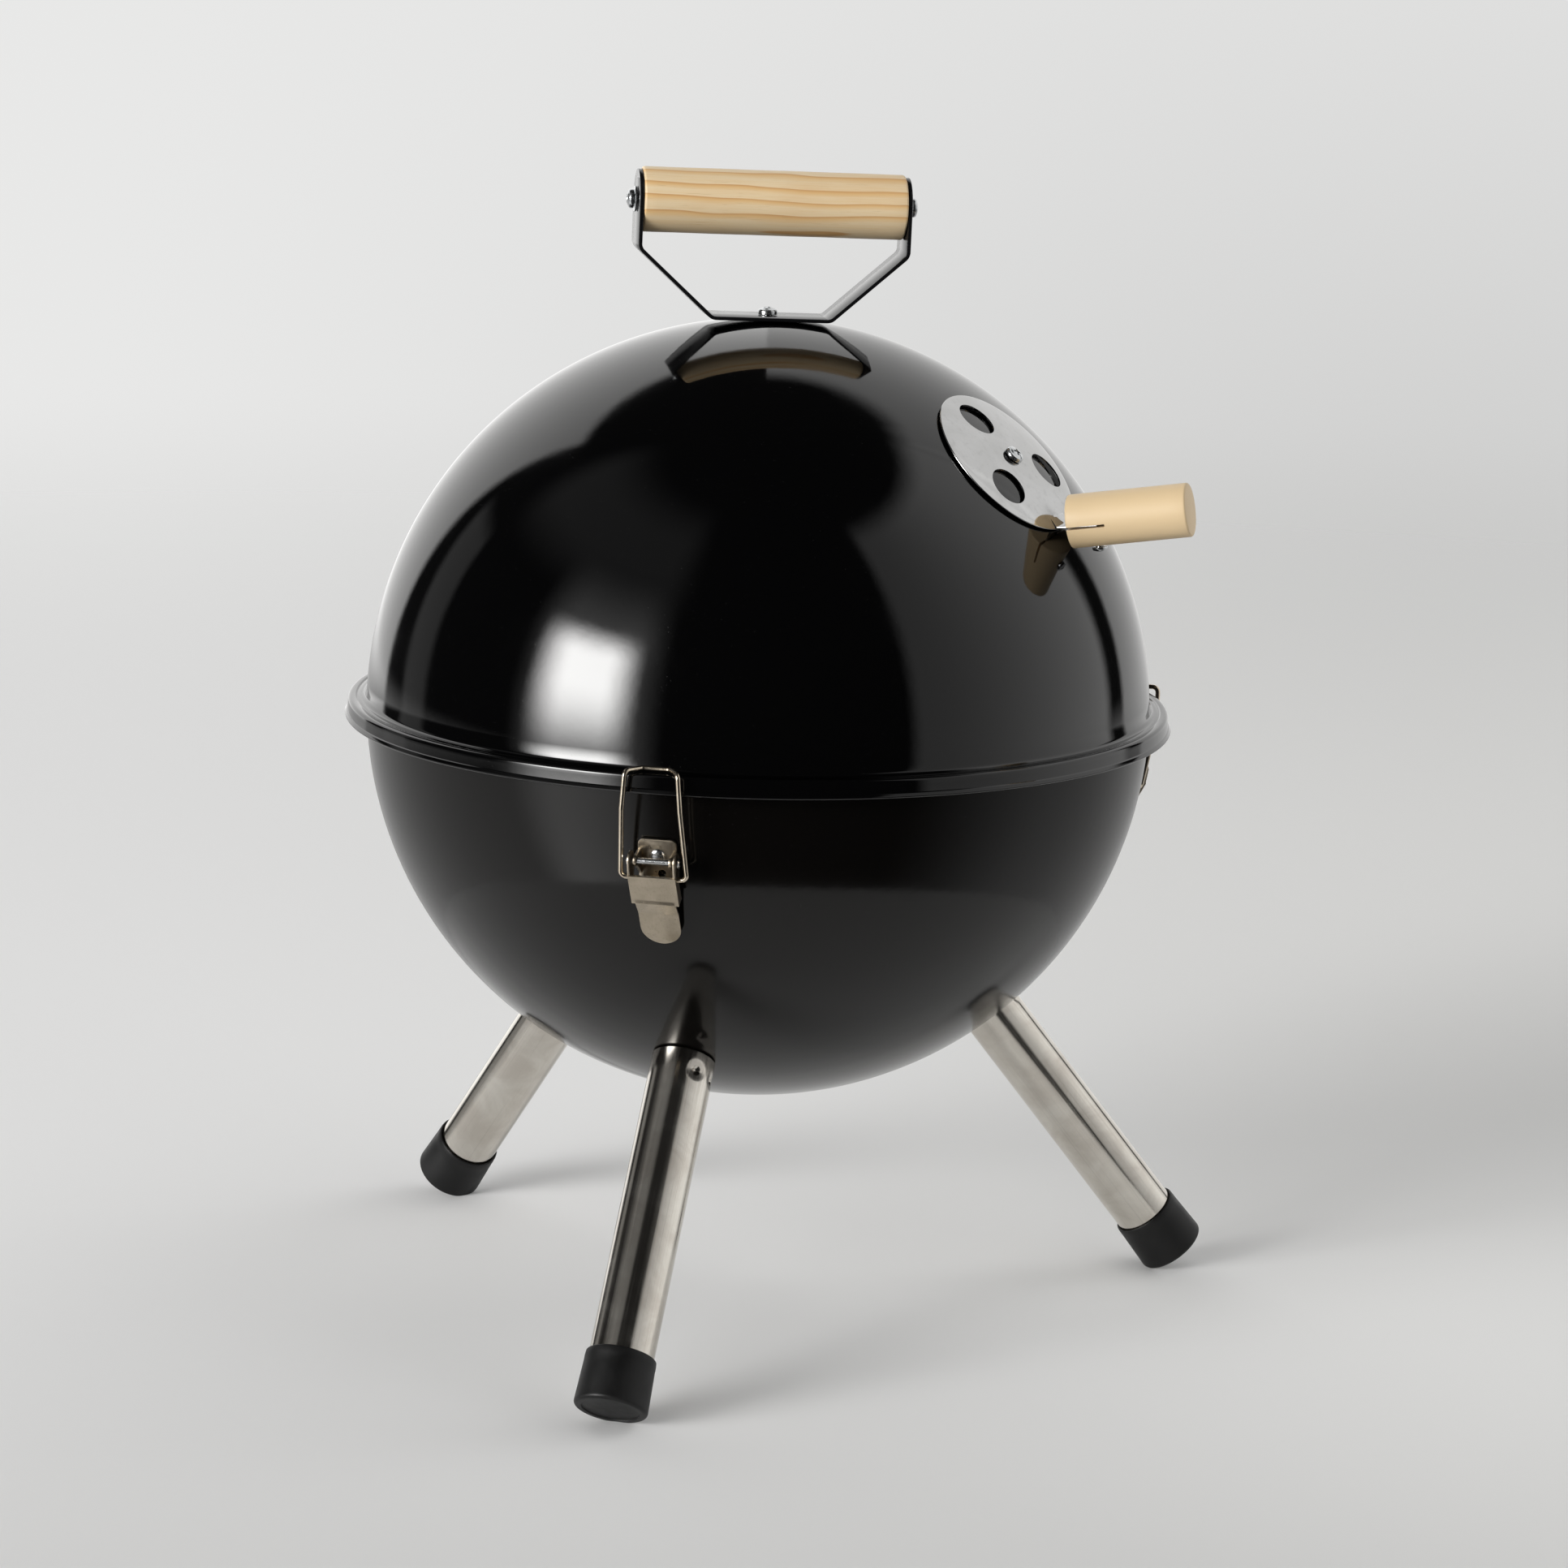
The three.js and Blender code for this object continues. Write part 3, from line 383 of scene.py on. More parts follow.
NICKEL_WIRE = metal(
    "nickel_wire", (0.6, 0.51, 0.4), (0.7, 0.62, 0.5),
    gloss=0.14, spread=0.1, grain=(0.7, 0.7, 0.7), blotch=0.2,
)
GALVANISED = metal(
    "galvanised_steel", (0.3, 0.31, 0.32), (0.48, 0.49, 0.5),
    gloss=0.34, spread=0.16, grain=(0.4, 0.4, 0.4), blotch=0.12, peel=0.1,
)
print("metals:", len([m for m in bpy.data.materials if m.node_tree]), "finishes so far")

# %% [markdown]
# ## Rubber
# The feet are matt moulded rubber: dark grey rather than black, with a fine grain and a dusty
# bloom that catches light on the upper faces.

# %% Rubber
RUBBER, rubber_sheet = new_finish("black_rubber")
rubber_place = object_place(rubber_sheet)
rubber_grain = noise(rubber_sheet, rubber_place, 2600.0, 3.0)
rubber_bloom = noise(rubber_sheet, rubber_place, 60.0, 5.0, 0.65)
shade(
    rubber_sheet,
    Base_Color=mixed(rubber_sheet, rubber_bloom.ramp(0.4, 0.8), (0.003,) * 3, (0.009,) * 3),
    Roughness=rubber_bloom.ramp(0.3, 0.8, 0.42, 0.62),
    Specular_IOR_Level=0.3,
    Normal=bumped(rubber_sheet, rubber_grain, 0.25, 0.0001),
)
print("rubber:", RUBBER.name)

# %% [markdown]
# ## Drawing tools
# Most parts are turned on a lathe or are bent from strip. A turned part needs only a profile of
# radius and height. A bent strip needs its centre line, its thickness, and a half width that may
# change along it, which also rounds its ends.


# %% Points along arcs and bends
def arc(cx, cy, radius, start, end, steps):
    """Points on an arc, angles in degrees."""
    points = []
    for i in range(steps + 1):
        angle = radians(start + (end - start) * i / steps)
        points.append((cx + radius * cos(angle), cy + radius * sin(angle)))
    return points


def bent(corners, radius, steps=6):
    """A line through the corners with each corner turned into a true arc."""
    corners = [Vector(c) for c in corners]
    line = [corners[0]]
    for before, corner, after in zip(corners, corners[1:], corners[2:]):
        back = (before - corner).normalized()
        ahead = (after - corner).normalized()
        half = back.angle(ahead) / 2
        reach = radius / tan(half)
        middle = corner + (back + ahead).normalized() * (radius / sin(half))
        start = corner + back * reach - middle
        end = corner + ahead * reach - middle
        sweep = start.angle(end)
        for k in range(steps + 1):
            t = k / steps
            line.append(middle + (start * sin((1 - t) * sweep) + end * sin(t * sweep)) / sin(sweep))
    line.append(corners[-1])
    return line


# %% A turned body
def turned(profile, around=64):
    """A closed body turned round Z from (radius, height) points, outer side drawn upwards."""
    bm = bmesh.new()
    looped = profile[0] == profile[-1]
    points = profile[:-1] if looped else profile
    rings = []
    for r, z in points:
        if r < 1e-6:
            rings.append([bm.verts.new((0, 0, z))] * around)
        else:
            turn = [2 * pi * k / around for k in range(around)]
            rings.append([bm.verts.new((r * cos(a), r * sin(a), z)) for a in turn])
    pairs = list(zip(rings, rings[1:])) + ([(rings[-1], rings[0])] if looped else [])
    for low, high in pairs:
        for k in range(around):
            n = (k + 1) % around
            corners = []
            for v in (low[k], low[n], high[n], high[k]):
                if v not in corners:
                    corners.append(v)
            bm.faces.new(corners)
    return bm


# %% A bent strip and a cut plate
def strip(line, thickness, half_width, edge=0.3):
    """A strip that follows (x, z) points; its width lies along Y and half_width(i) may vary."""
    bm = bmesh.new()
    line = [Vector(p) for p in line]
    rings = []
    for i, point in enumerate(line):
        before = line[max(i - 1, 0)]
        after = line[min(i + 1, len(line) - 1)]
        tangent = (after - before).normalized()
        normal = Vector((-tangent.y, tangent.x))
        wide = max(half_width(i), edge + 0.05)
        half = thickness / 2
        section = [
            (wide - edge, half), (wide - edge * 0.3, half - edge * 0.3), (wide, half - edge),
            (wide, edge - half), (wide - edge * 0.3, edge * 0.3 - half), (wide - edge, -half),
        ]
        section += [(-w, h) for w, h in reversed(section)]
        ring = []
        for w, h in section:
            place = point + normal * h
            ring.append(bm.verts.new((place.x, -w, place.y)))
        rings.append(ring)
    count = len(rings[0])
    for low, high in zip(rings, rings[1:]):
        for k in range(count):
            n = (k + 1) % count
            bm.faces.new((low[k], low[n], high[n], high[k]))
    bm.faces.new(list(reversed(rings[0])))
    bm.faces.new(rings[-1])
    bmesh.ops.recalc_face_normals(bm, faces=bm.faces)
    return bm


def plate(outline, thickness, edge=0.0):
    """A flat plate of (x, y) points, from z = 0 to its thickness, with its edges broken."""
    bm = bmesh.new()
    face = bm.faces.new([bm.verts.new((x, y, 0)) for x, y in outline])
    top = bmesh.ops.extrude_face_region(bm, geom=[face])["geom"]
    moved = [v for v in top if isinstance(v, bmesh.types.BMVert)]
    bmesh.ops.translate(bm, verts=moved, vec=(0, 0, thickness))
    bmesh.ops.recalc_face_normals(bm, faces=bm.faces)
    if edge:
        sharp = [e for e in bm.edges if e.calc_face_angle(0) > radians(50)]
        bmesh.ops.bevel(bm, geom=sharp, offset=edge, segments=2, affect="EDGES", profile=0.6)
    return bm


# %% [markdown]
# ## Finished pieces
# Every piece ends at the world origin with its place in its mesh. The drawing coordinates are kept
# in the attribute called own before the mesh is moved. Faces that meet at a clear angle keep a
# sharp edge, and all others are shaded smooth.


# %% From drawing to piece
def mesh_of(bm, name, place=None, grain=None):
    """A mesh in row coordinates; place turns the drawing into the kettle's own millimetres."""
    if grain is None:
        grain = Matrix.Identity(4)
    own = [tuple(grain @ v.co) for v in bm.verts]
    bm.transform(TO_ROW @ (place or Matrix.Identity(4)))
    mesh = bpy.data.meshes.new(name)
    bm.to_mesh(mesh)
    bm.free()
    layer = mesh.attributes.new("own", "FLOAT_VECTOR", "POINT")
    for spot, value in zip(layer.data, own):
        spot.vector = value
    return mesh


def shown(name, mesh, material, corner=32):
    mesh.materials.clear()
    mesh.materials.append(material)
    mesh.shade_smooth()
    mesh.set_sharp_from_angle(angle=radians(corner))
    piece = bpy.data.objects.new(name, mesh)
    bpy.context.scene.collection.objects.link(piece)
    return piece


def joined(meshes, name):
    """Several meshes as one, in the order given."""
    bm = bmesh.new()
    for mesh in meshes:
        bm.from_mesh(mesh)
    made = bpy.data.meshes.new(name)
    bm.to_mesh(made)
    bm.free()
    return made


def evaluated_mesh(piece, name):
    depsgraph = bpy.context.evaluated_depsgraph_get()
    depsgraph.update()
    return bpy.data.meshes.new_from_object(
        piece.evaluated_get(depsgraph), preserve_all_data_layers=True, depsgraph=depsgraph)


def carved(mesh, tools, operation="DIFFERENCE"):
    """The mesh after an exact boolean with each tool mesh."""
    body = bpy.data.objects.new("work", mesh)
    bpy.context.scene.collection.objects.link(body)
    helpers = []
    for tool in tools:
        helper = bpy.data.objects.new("tool", tool)
        bpy.context.scene.collection.objects.link(helper)
        helpers.append(helper)
        boolean = body.modifiers.new("cut", "BOOLEAN")
        boolean.operation = operation
        boolean.solver = "EXACT"
        boolean.object = helper
    made = evaluated_mesh(body, mesh.name)
    for spare in [body, *helpers]:
        bpy.data.objects.remove(spare)
    return made


def ride(piece, body, slot, *nodes):
    """Declares what a piece moves with and which nodes it stands for; the slot argument is not used."""
    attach(piece, body)
    if nodes:
        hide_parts(*nodes)
    triangles = sum(len(p.vertices) - 2 for p in piece.data.polygons)
    print(f"{piece.name}: {triangles} triangles on {body}")
    return piece


# %% [markdown]
# ## The places of legs, clips and the damper
# Legs and clips repeat every third of a turn, and the first of each faces -Y. A leg points straight
# out of the bowl's sphere. The damper sits square on the lid's sphere, and its knob leans up out
# of it. Each place is a matrix that carries drawing coordinates to the kettle's millimetres.

# %% Places
LEG_SPLAY = radians(38.1)
LEG_PLACE = Matrix.Translation((0, 0, BOWL_Z)) @ Matrix.Rotation(pi - LEG_SPLAY, 4, "X")

damper_joint = next(j for j in frame["joints"] if j["name"] == "damper_turn")
vent_out = Vector(damper_joint["axis"]).normalized()
VENT_TURN = radians(5)
vent_side = Vector((-vent_out.y, vent_out.x, 0)).normalized()
vent_down = vent_side.cross(vent_out)
VENT_PLACE = Matrix((vent_down, vent_side, vent_out)).transposed().to_4x4()
VENT_PLACE = VENT_PLACE @ Matrix.Rotation(VENT_TURN, 4, "Z")

# The strap sits a little crooked on its screw, so handle and strap lean about the dome's top.
HANDLE_TURN = radians(23.9)
HANDLE_LEAN = radians(1.2)
HANDLE_PLACE = Matrix.Rotation(HANDLE_TURN, 4, "Z")
lean_shift = Vector((-sin(HANDLE_LEAN), 0, 1 - cos(HANDLE_LEAN))) * DOME_R
STRAP_PLACE = HANDLE_PLACE @ Matrix.Translation(lean_shift) @ Matrix.Rotation(HANDLE_LEAN, 4, "Y")
CLIP_TURN = radians(1.9)


def turned_by(azimuth):
    return Matrix.Rotation(azimuth, 4, "Z")


# A drawing plane of (out, up) points with its thickness along the kettle's tangent.
OUT_UP = Matrix(((0, 0, 1, 0), (-1, 0, 0, 0), (0, 1, 0, 0), (0, 0, 0, 1)))
print("damper faces:", [round(v, 3) for v in vent_out])

# %% [markdown]
# ## Repeats by Geometry Nodes
# Parts that come in threes are drawn once, on the front side. A node group copies the drawing round
# the kettle's axis and ends in real geometry with its finish, so the modifier can be dropped.


# %% The group that repeats a part round the axis
def ring_group():
    tree = bpy.data.node_groups.new("copies_round_the_axis", "GeometryNodeTree")
    face = tree.interface
    sockets = {"Drawing": "Geometry", "Copies": "Int", "First": "Float", "Step": "Float",
               "Centre": "Vector", "Finish": "Material"}
    ids = {}
    for name, kind in sockets.items():
        made = face.new_socket(name=name, in_out="INPUT", socket_type=f"NodeSocket{kind}")
        ids[name] = made.identifier
    face.new_socket(name="Result", in_out="OUTPUT", socket_type="NodeSocketGeometry")
    sheet = Sheet(tree)
    entry = tree.nodes.new("NodeGroupInput")
    given = {name: Wire(sheet, entry.outputs[name]) for name in sockets}
    line = sheet.node("GeometryNodeMeshLine", {"mode": "OFFSET"},
                      {"Count": given["Copies"], "Start Location": (0, 0, 0), "Offset": (0, 0, 0)})
    index = sheet.node("GeometryNodeInputIndex")
    angle = index * given["Step"] + given["First"]
    turn = sheet.node("ShaderNodeCombineXYZ", None, {"Z": angle})
    back = sheet.node("ShaderNodeVectorMath", {"operation": "SCALE"}, {0: given["Centre"], "Scale": -1.0})
    centred = sheet.node("GeometryNodeTransform", None, {"Geometry": given["Drawing"], "Translation": back})
    copies = sheet.node("GeometryNodeInstanceOnPoints", None,
                        {"Points": line, "Instance": centred, "Rotation": turn})
    real = sheet.node("GeometryNodeRealizeInstances", None, {"Geometry": copies})
    moved = sheet.node("GeometryNodeTransform", None, {"Geometry": real, "Translation": given["Centre"]})
    finish = sheet.node("GeometryNodeSetMaterial", None, {"Geometry": moved, "Material": given["Finish"]})
    leave = tree.nodes.new("NodeGroupOutput")
    tree.links.new(finish.socket, leave.inputs["Result"])
    return tree, ids


RING_TREE, RING_IDS = ring_group()


def copied_round(name, mesh, material, copies=3, first=0.0, corner=32):
    """Runs the ring group on a front-side drawing and returns the plain piece."""
    source = bpy.data.objects.new("drawing", mesh)
    bpy.context.scene.collection.objects.link(source)
    group = source.modifiers.new("repeat", "NODES")
    group.node_group = RING_TREE
    for key, value in (("Copies", copies), ("First", first), ("Step", THIRD),
                       ("Centre", tuple(HEART)), ("Finish", material)):
        group[RING_IDS[key]] = value
    made = evaluated_mesh(source, name)
    bpy.data.objects.remove(source)
    made.name = name
    return shown(name, made, material, corner)


print("ring group inputs:", list(RING_IDS))

# %% [markdown]
# ## The lid shell
# The lid is spun from one sheet: a half sphere, a tight hollow at its foot, a flat ledge for the
# clips, and a short skirt that ends in a rolled lip. The wall is drawn on both sides so the inside
# is right when the lid is lifted. Four holes go through it under the damper and one under the handle.

# %% Lid profile
INNER_R = DOME_R - SHEET
SKIRT_R = 167.4
LIP_R = 168.7
lid_profile = [
    (0, INNER_R),
    *arc(0, 0, INNER_R, 89.2, 2.0, 64),
    (INNER_R + 0.2, 4.4),
    *arc(INNER_R + 1.6, 4.9, 1.4, 200, 270, 5),
    (SKIRT_R - SHEET - 0.7, LEDGE_Z - SHEET),
    *arc(SKIRT_R - SHEET - 0.5, LEDGE_Z - SHEET - 0.5, 0.5, 80, 5, 3),
    (LIP_R - 1.75, -1.5),
    *arc(LIP_R - 0.75, -2.0, 0.8, 190, 360, 9),
    *arc(LIP_R - 1.2, -1.5, 0.75, 20, 60, 3),
    (SKIRT_R + 0.25, -0.7),
    (SKIRT_R + 0.05, 2.2),
    *arc(SKIRT_R - 1.5, LEDGE_Z - 1.5, 1.5, 0, 90, 7),
    (SKIRT_R - 3.2, LEDGE_Z),
    (SKIRT_R - 3.5, LEDGE_Z - 0.18),
    (SKIRT_R - 3.9, LEDGE_Z - 0.18),
    (SKIRT_R - 4.2, LEDGE_Z),
    *arc(DOME_R + 2.1, LEDGE_Z + 1.9, 1.9, 270, 186, 6),
    *arc(0, 0, DOME_R, 2.7, 89.2, 72),
    (0, DOME_R),
]
AROUND_SHELL = 192


# %% Round tools for holes
SHELL_CUT = (130, 180)
FLOOR_CUT = (-180, -140)
SCREW_HOLE_R = 2.4
STRAP_HOLE_R = 2.5
BOLT_HOLE_R = 3.4
RIVET_HOLE_R = 1.9


def rod(radius, z0, z1, around=40):
    return turned([(0, z0), (radius, z0), (radius, z1), (0, z1)], around)


def vent_rods(radius, ring_radius, first, z0, z1, place):
    tools = []
    for k in range(3):
        angle = first + k * THIRD
        spot = Matrix.Translation((ring_radius * cos(angle), ring_radius * sin(angle), 0))
        tools.append(mesh_of(rod(radius, z0, z1), "hole", place @ spot))
    return tools


VENT_RING_R = 20.7
VENT_HOLE_R = 8.2
lid_mesh = mesh_of(turned(lid_profile, AROUND_SHELL), "lid")
lid_tools = vent_rods(VENT_HOLE_R - 0.5, VENT_RING_R, 0, *SHELL_CUT, VENT_PLACE)
lid_tools.append(mesh_of(rod(SCREW_HOLE_R, *SHELL_CUT), "hole", VENT_PLACE))
lid_tools.append(mesh_of(rod(STRAP_HOLE_R, *SHELL_CUT), "hole"))
lid = shown("kettle_lid", carved(lid_mesh, [joined(lid_tools, "holes")]), LID_ENAMEL, 40)
ride(lid, "lid", "lid_enamel", "lid_shell")

# %% [markdown]
# ## The bowl shell
# The bowl is the same spinning with a rolled bead for an edge. Bolts, clip rivets and the floor
# vent go through it.

# %% Bowl
bowl_profile = [
    (0, BOWL_Z - DOME_R),
    *arc(0, BOWL_Z, DOME_R, -89.2, -1.2, 72),
    *arc(162.6, 0.6, 2.6, -155, 90, 14),
    (DOME_R - 0.2, BOWL_EDGE_Z),
    *arc(DOME_R - 0.4, BOWL_Z, 0.8, 90, 180, 4),
    *arc(0, BOWL_Z, INNER_R, -0.5, -89.2, 64),
    (0, BOWL_Z - INNER_R),
]
BRACKET_ELEVATION = radians(13.2)
RIVET_OFFSETS = (-6, 8)


def rivet_place(offset):
    """Z points out through the clip's plate, offset is down along the plate."""
    turn = Matrix.Translation((0, 0, BOWL_Z)) @ Matrix.Rotation(pi / 2 + BRACKET_ELEVATION, 4, "X")
    return turn @ Matrix.Translation((0, -offset, 0))


FLOOR_RING_R = 15
FLOOR_HOLE_R = 6.4
bowl_tools = vent_rods(FLOOR_HOLE_R - 0.4, FLOOR_RING_R, pi / 2, *FLOOR_CUT, Matrix.Identity(4))
for leg in range(3):
    turn = turned_by(leg * THIRD)
    bowl_tools.append(mesh_of(rod(BOLT_HOLE_R, *SHELL_CUT), "hole", turn @ LEG_PLACE))
    for offset in RIVET_OFFSETS:
        clip_place = turned_by(CLIP_TURN) @ turn @ rivet_place(offset)
        bowl_tools.append(mesh_of(rod(RIVET_HOLE_R, *SHELL_CUT, 20), "hole", clip_place))
bowl_tools.append(mesh_of(rod(SCREW_HOLE_R, *FLOOR_CUT), "hole"))
bowl_mesh = mesh_of(turned(bowl_profile, AROUND_SHELL), "bowl")
bowl = shown("kettle_bowl", carved(bowl_mesh, [joined(bowl_tools, "holes")]), BOWL_ENAMEL, 40)
ride(bowl, "bowl", "bowl_enamel", "bowl_shell")

# %% [markdown]
# ## Pan-head screws
# Pan-head screws of several sizes hold the wood, the strap and the damper. Each is turned, and a
# cross recess with leaning flanks is cut into its head. Z points out of the head and its seat is at
# z = 0.


# %% Screw and washer
def cross_tool(reach, depth, top):
    """Two crossed blades that narrow downwards."""
    meshes = []
    for turn in (0, pi / 2):
        bm = bmesh.new()
        bmesh.ops.create_cube(bm, size=1)
        for v in bm.verts:
            low = v.co.z < 0
            v.co.x *= reach * (0.9 if low else 2.0)
            v.co.y *= 0.75 if low else 1.05
            v.co.z = top - depth if low else top + 1
        meshes.append((bm, turn))
    return meshes


def screw_mesh(name, head_r, head_h, shank_r, length, place, spin=0.4):
    crown = arc(0, head_h - head_r * 1.55, head_r * 1.55, 90, 60, 8)
    crown = [(r, z) for r, z in crown if z > head_h * 0.5][1:]
    last_r, last_z = crown[-1]
    profile = [
        (0, -length),
        (shank_r - 0.3, -length),
        (shank_r, -length + 0.4),
        (shank_r, 0),
        (head_r - 0.15, 0),
        (head_r, 0.15),
        (head_r, head_h * 0.3),
        (head_r * 0.985, head_h * 0.45),
        ((head_r * 0.96 + last_r) / 2 + 0.1, (head_h * 0.55 + last_z) / 2 + 0.1),
        *reversed(crown),
        (0, head_h),
    ]
    body = mesh_of(turned(profile, 48), name, place)
    tools = [mesh_of(bm, "blade", place @ Matrix.Rotation(spin + turn, 4, "Z"))
             for bm, turn in cross_tool(head_r * 0.62, head_h * 0.62, head_h)]
    return carved(body, tools)


def washer_mesh(name, bore, radius, z0, z1, place):
    profile = [(bore, z0), (radius - 0.15, z0), (radius, z0 + 0.15), (radius, z1 - 0.15),
               (radius - 0.15, z1), (bore, z1), (bore, z0)]
    return mesh_of(turned(profile, 48), name, place)


# %% [markdown]
# ## The carrying handle
# One black strip is bent five times: a short base on the dome, two slanted sides and two upright
# ears. The ears end in half rounds about the grip's axis. The grip is a pine dowel held by a screw
# and washer at each end.

# %% Strap
GRIP_AXIS_Z = 206.7
GRIP_R = 13.0
GRIP_HALF = 53.2
GAP = 0.3
STRAP_THICK = 1.5
STRAP_HALF_WIDTH = 12.0
STRAP_BASE_HALF = 24.0
STRAP_BEND_Z = 188.0
STRAP_BEND_R = 4.0
ear_x = GRIP_HALF + GAP + STRAP_THICK / 2
base_z = DOME_R + GAP + STRAP_THICK / 2
strap_corners = [(-ear_x, GRIP_AXIS_Z), (-ear_x, STRAP_BEND_Z), (-STRAP_BASE_HALF, base_z),
                 (STRAP_BASE_HALF, base_z), (ear_x, STRAP_BEND_Z), (ear_x, GRIP_AXIS_Z)]
ear_rise = [STRAP_HALF_WIDTH * sin(radians(a)) for a in range(5, 90, 5)]
strap_line = [(-ear_x, GRIP_AXIS_Z + rise) for rise in reversed(ear_rise)]
strap_line += [tuple(p) for p in bent(strap_corners, STRAP_BEND_R)]
strap_line += [(ear_x, GRIP_AXIS_Z + rise) for rise in ear_rise]


def strap_half_width(i):
    over = max(strap_line[i][1] - GRIP_AXIS_Z, 0)
    return sqrt(max(STRAP_HALF_WIDTH ** 2 - over ** 2, 0))


strap_mesh = mesh_of(strip(strap_line, STRAP_THICK, strap_half_width), "strap", STRAP_PLACE)
strap = shown("handle_strap_bent", strap_mesh, STRAP_BLACK)
ride(strap, "lid", "black_strap", "handle_strap")

# %% Grip
grip_profile = [
    (0, -GRIP_HALF),
    (GRIP_R - 1.2, -GRIP_HALF),
    *arc(GRIP_R - 1.0, 1.0 - GRIP_HALF, 1.0, -90, 0, 5),
    *[(GRIP_R + 0.03 * sin(z * 0.21), z) for z in range(-48, 49, 8)],
    *arc(GRIP_R - 1.0, GRIP_HALF - 1.0, 1.0, 0, 90, 5),
    (GRIP_R - 1.2, GRIP_HALF),
    (0, GRIP_HALF),
]
ALONG_X = Matrix.Rotation(pi / 2, 4, "Y")
grip_place = STRAP_PLACE @ Matrix.Translation((0, 0, GRIP_AXIS_Z)) @ ALONG_X
grip_mesh = mesh_of(turned(grip_profile, 96), "grip", grip_place, ALONG_X)
grip = shown("handle_grip_dowel", grip_mesh, GRIP_WOOD)
ride(grip, "lid", "grip_wood", "handle_grip")

# %% Handle fasteners
washer_seat = ear_x + STRAP_THICK / 2 + GAP
WASHER_THICK = 0.8
for side, sign in (("left", -1), ("right", 1)):
    end = STRAP_PLACE @ Matrix.Translation((0, 0, GRIP_AXIS_Z)) @ Matrix.Rotation(sign * pi / 2, 4, "Y")
    disc = washer_mesh("washer", 2.2, 5.2, washer_seat, washer_seat + WASHER_THICK, end)
    ride(shown(f"handle_washer_{side}_turned", disc, ZINC), "lid", "zinc_steel", f"handle_washer_{side}")
    seat = end @ Matrix.Translation((0, 0, washer_seat + WASHER_THICK + GAP))
    bolt = screw_mesh("screw", 3.9, 2.8, 2, 27, seat, 0.5 + sign * 0.3)
    ride(shown(f"handle_screw_{side}_cross", bolt, ZINC), "lid", "zinc_steel", f"handle_screw_{side}")
base_seat = HANDLE_PLACE @ Matrix.Translation((0, 0, DOME_R + STRAP_THICK + 2 * GAP))
base_screw = screw_mesh("screw", 4, 3, 2, 11, base_seat, 0.2)
ride(shown("handle_base_screw_cross", base_screw, ZINC), "lid", "zinc_steel", "handle_base_screw")

# %% [markdown]
# ## The air damper
# A thin chrome dish lies on the dome and turns about its screw. It is turned finely so that its
# mirror is clean, holed, and then its tab is added, which bends up out of the rim.


# %% Vent plate
def vent_plate(radius, thickness, height, hole_radius, ring_radius, first, place, around=128):
    """A round plate whose upper side follows height(r), with three holes and a centre hole."""
    radii = [radius * k / 22 for k in range(1, 22)]
    under = [(0, height(0) - thickness)] + [(r, height(r) - thickness) for r in radii]
    upper = [(r, height(r)) for r in reversed(radii)] + [(0, height(0))]
    rim_z = height(radius) - thickness / 2
    edge = arc(radius - thickness / 2, rim_z, thickness / 2, -80, 80, 6)
    body = mesh_of(turned(under + edge + upper, around), "vent_plate", place)
    low, high = height(radius) - 12, height(0) + 12
    tools = vent_rods(hole_radius, ring_radius, first, low, high, place)
    tools.append(mesh_of(rod(2.3, low, high), "hole", place))
    return carved(body, [joined(tools, "holes")])


DISC_R = 34.3
DISC_SAG = 3.3
DISC_THICK = 0.7
DISC_TOP = DOME_R + GAP + 1
TAB_BEND = radians(53.3)
TAB_LENGTH = 17.0


def dish_height(r):
    return DISC_TOP - DISC_SAG * (r / DISC_R) ** 2


disc_mesh = vent_plate(DISC_R, DISC_THICK, dish_height, VENT_HOLE_R, VENT_RING_R, pi / 3,
                       VENT_PLACE)
rim_z = DISC_TOP - DISC_SAG - DISC_THICK / 2
TAB_ROOT_DROP = 3.1
bend_at = Vector((DISC_R - 0.6, DISC_TOP - TAB_ROOT_DROP))
lean = Vector((cos(TAB_BEND), sin(TAB_BEND)))
tab_start = (DISC_R - 5.5, rim_z + 0.95)
tab_line = bent([tab_start, tuple(bend_at), tuple(bend_at + lean * TAB_LENGTH)], 1.6, 5)
tab_mesh = mesh_of(strip(tab_line, DISC_THICK, lambda i: 6.0, 0.25), "tab", VENT_PLACE)
disc_mesh = carved(disc_mesh, [tab_mesh], "UNION")
damper = shown("damper_disc_chromed", disc_mesh, CHROME, 28)
ride(damper, "damper", "chrome_plate", "damper_disc")

# %% [markdown]
# ## The damper's knob
# A short dowel is sawn open at one end, pushed over the tab and pinned by a screw from below. The
# saw cut stays visible, so it is cut from the solid.

# %% Knob
KNOB_R = 10.6
KNOB_LENGTH = 48.0
KNOB_YAW = radians(11.8)
KNOB_START = 3.5
KNOB_SCREW_IN = 10.3
along_tab = Vector((lean.x, 0, lean.y))
off_tab = Vector((-lean.y, 0, lean.x))
knob_axis = Matrix.Rotation(KNOB_YAW, 3, off_tab) @ along_tab
knob_side = knob_axis.cross(off_tab)
knob_turn = Matrix((off_tab, knob_side, knob_axis)).transposed().to_4x4()
knob_root = Vector((bend_at.x, 0, bend_at.y)) + along_tab * KNOB_START + off_tab * KERF_DROP
KNOB_PLACE = VENT_PLACE @ Matrix.Translation(knob_root) @ knob_turn

knob_profile = [
    (0, 0),
    (KNOB_R - 0.9, 0),
    *arc(KNOB_R - 0.7, 0.7, 0.7, -90, 0, 4),
    *[(KNOB_R, z) for z in range(6, 45, 6)],
    *arc(KNOB_R - 0.9, KNOB_LENGTH - 0.9, 0.9, 0, 90, 5),
    (0, KNOB_LENGTH),
]
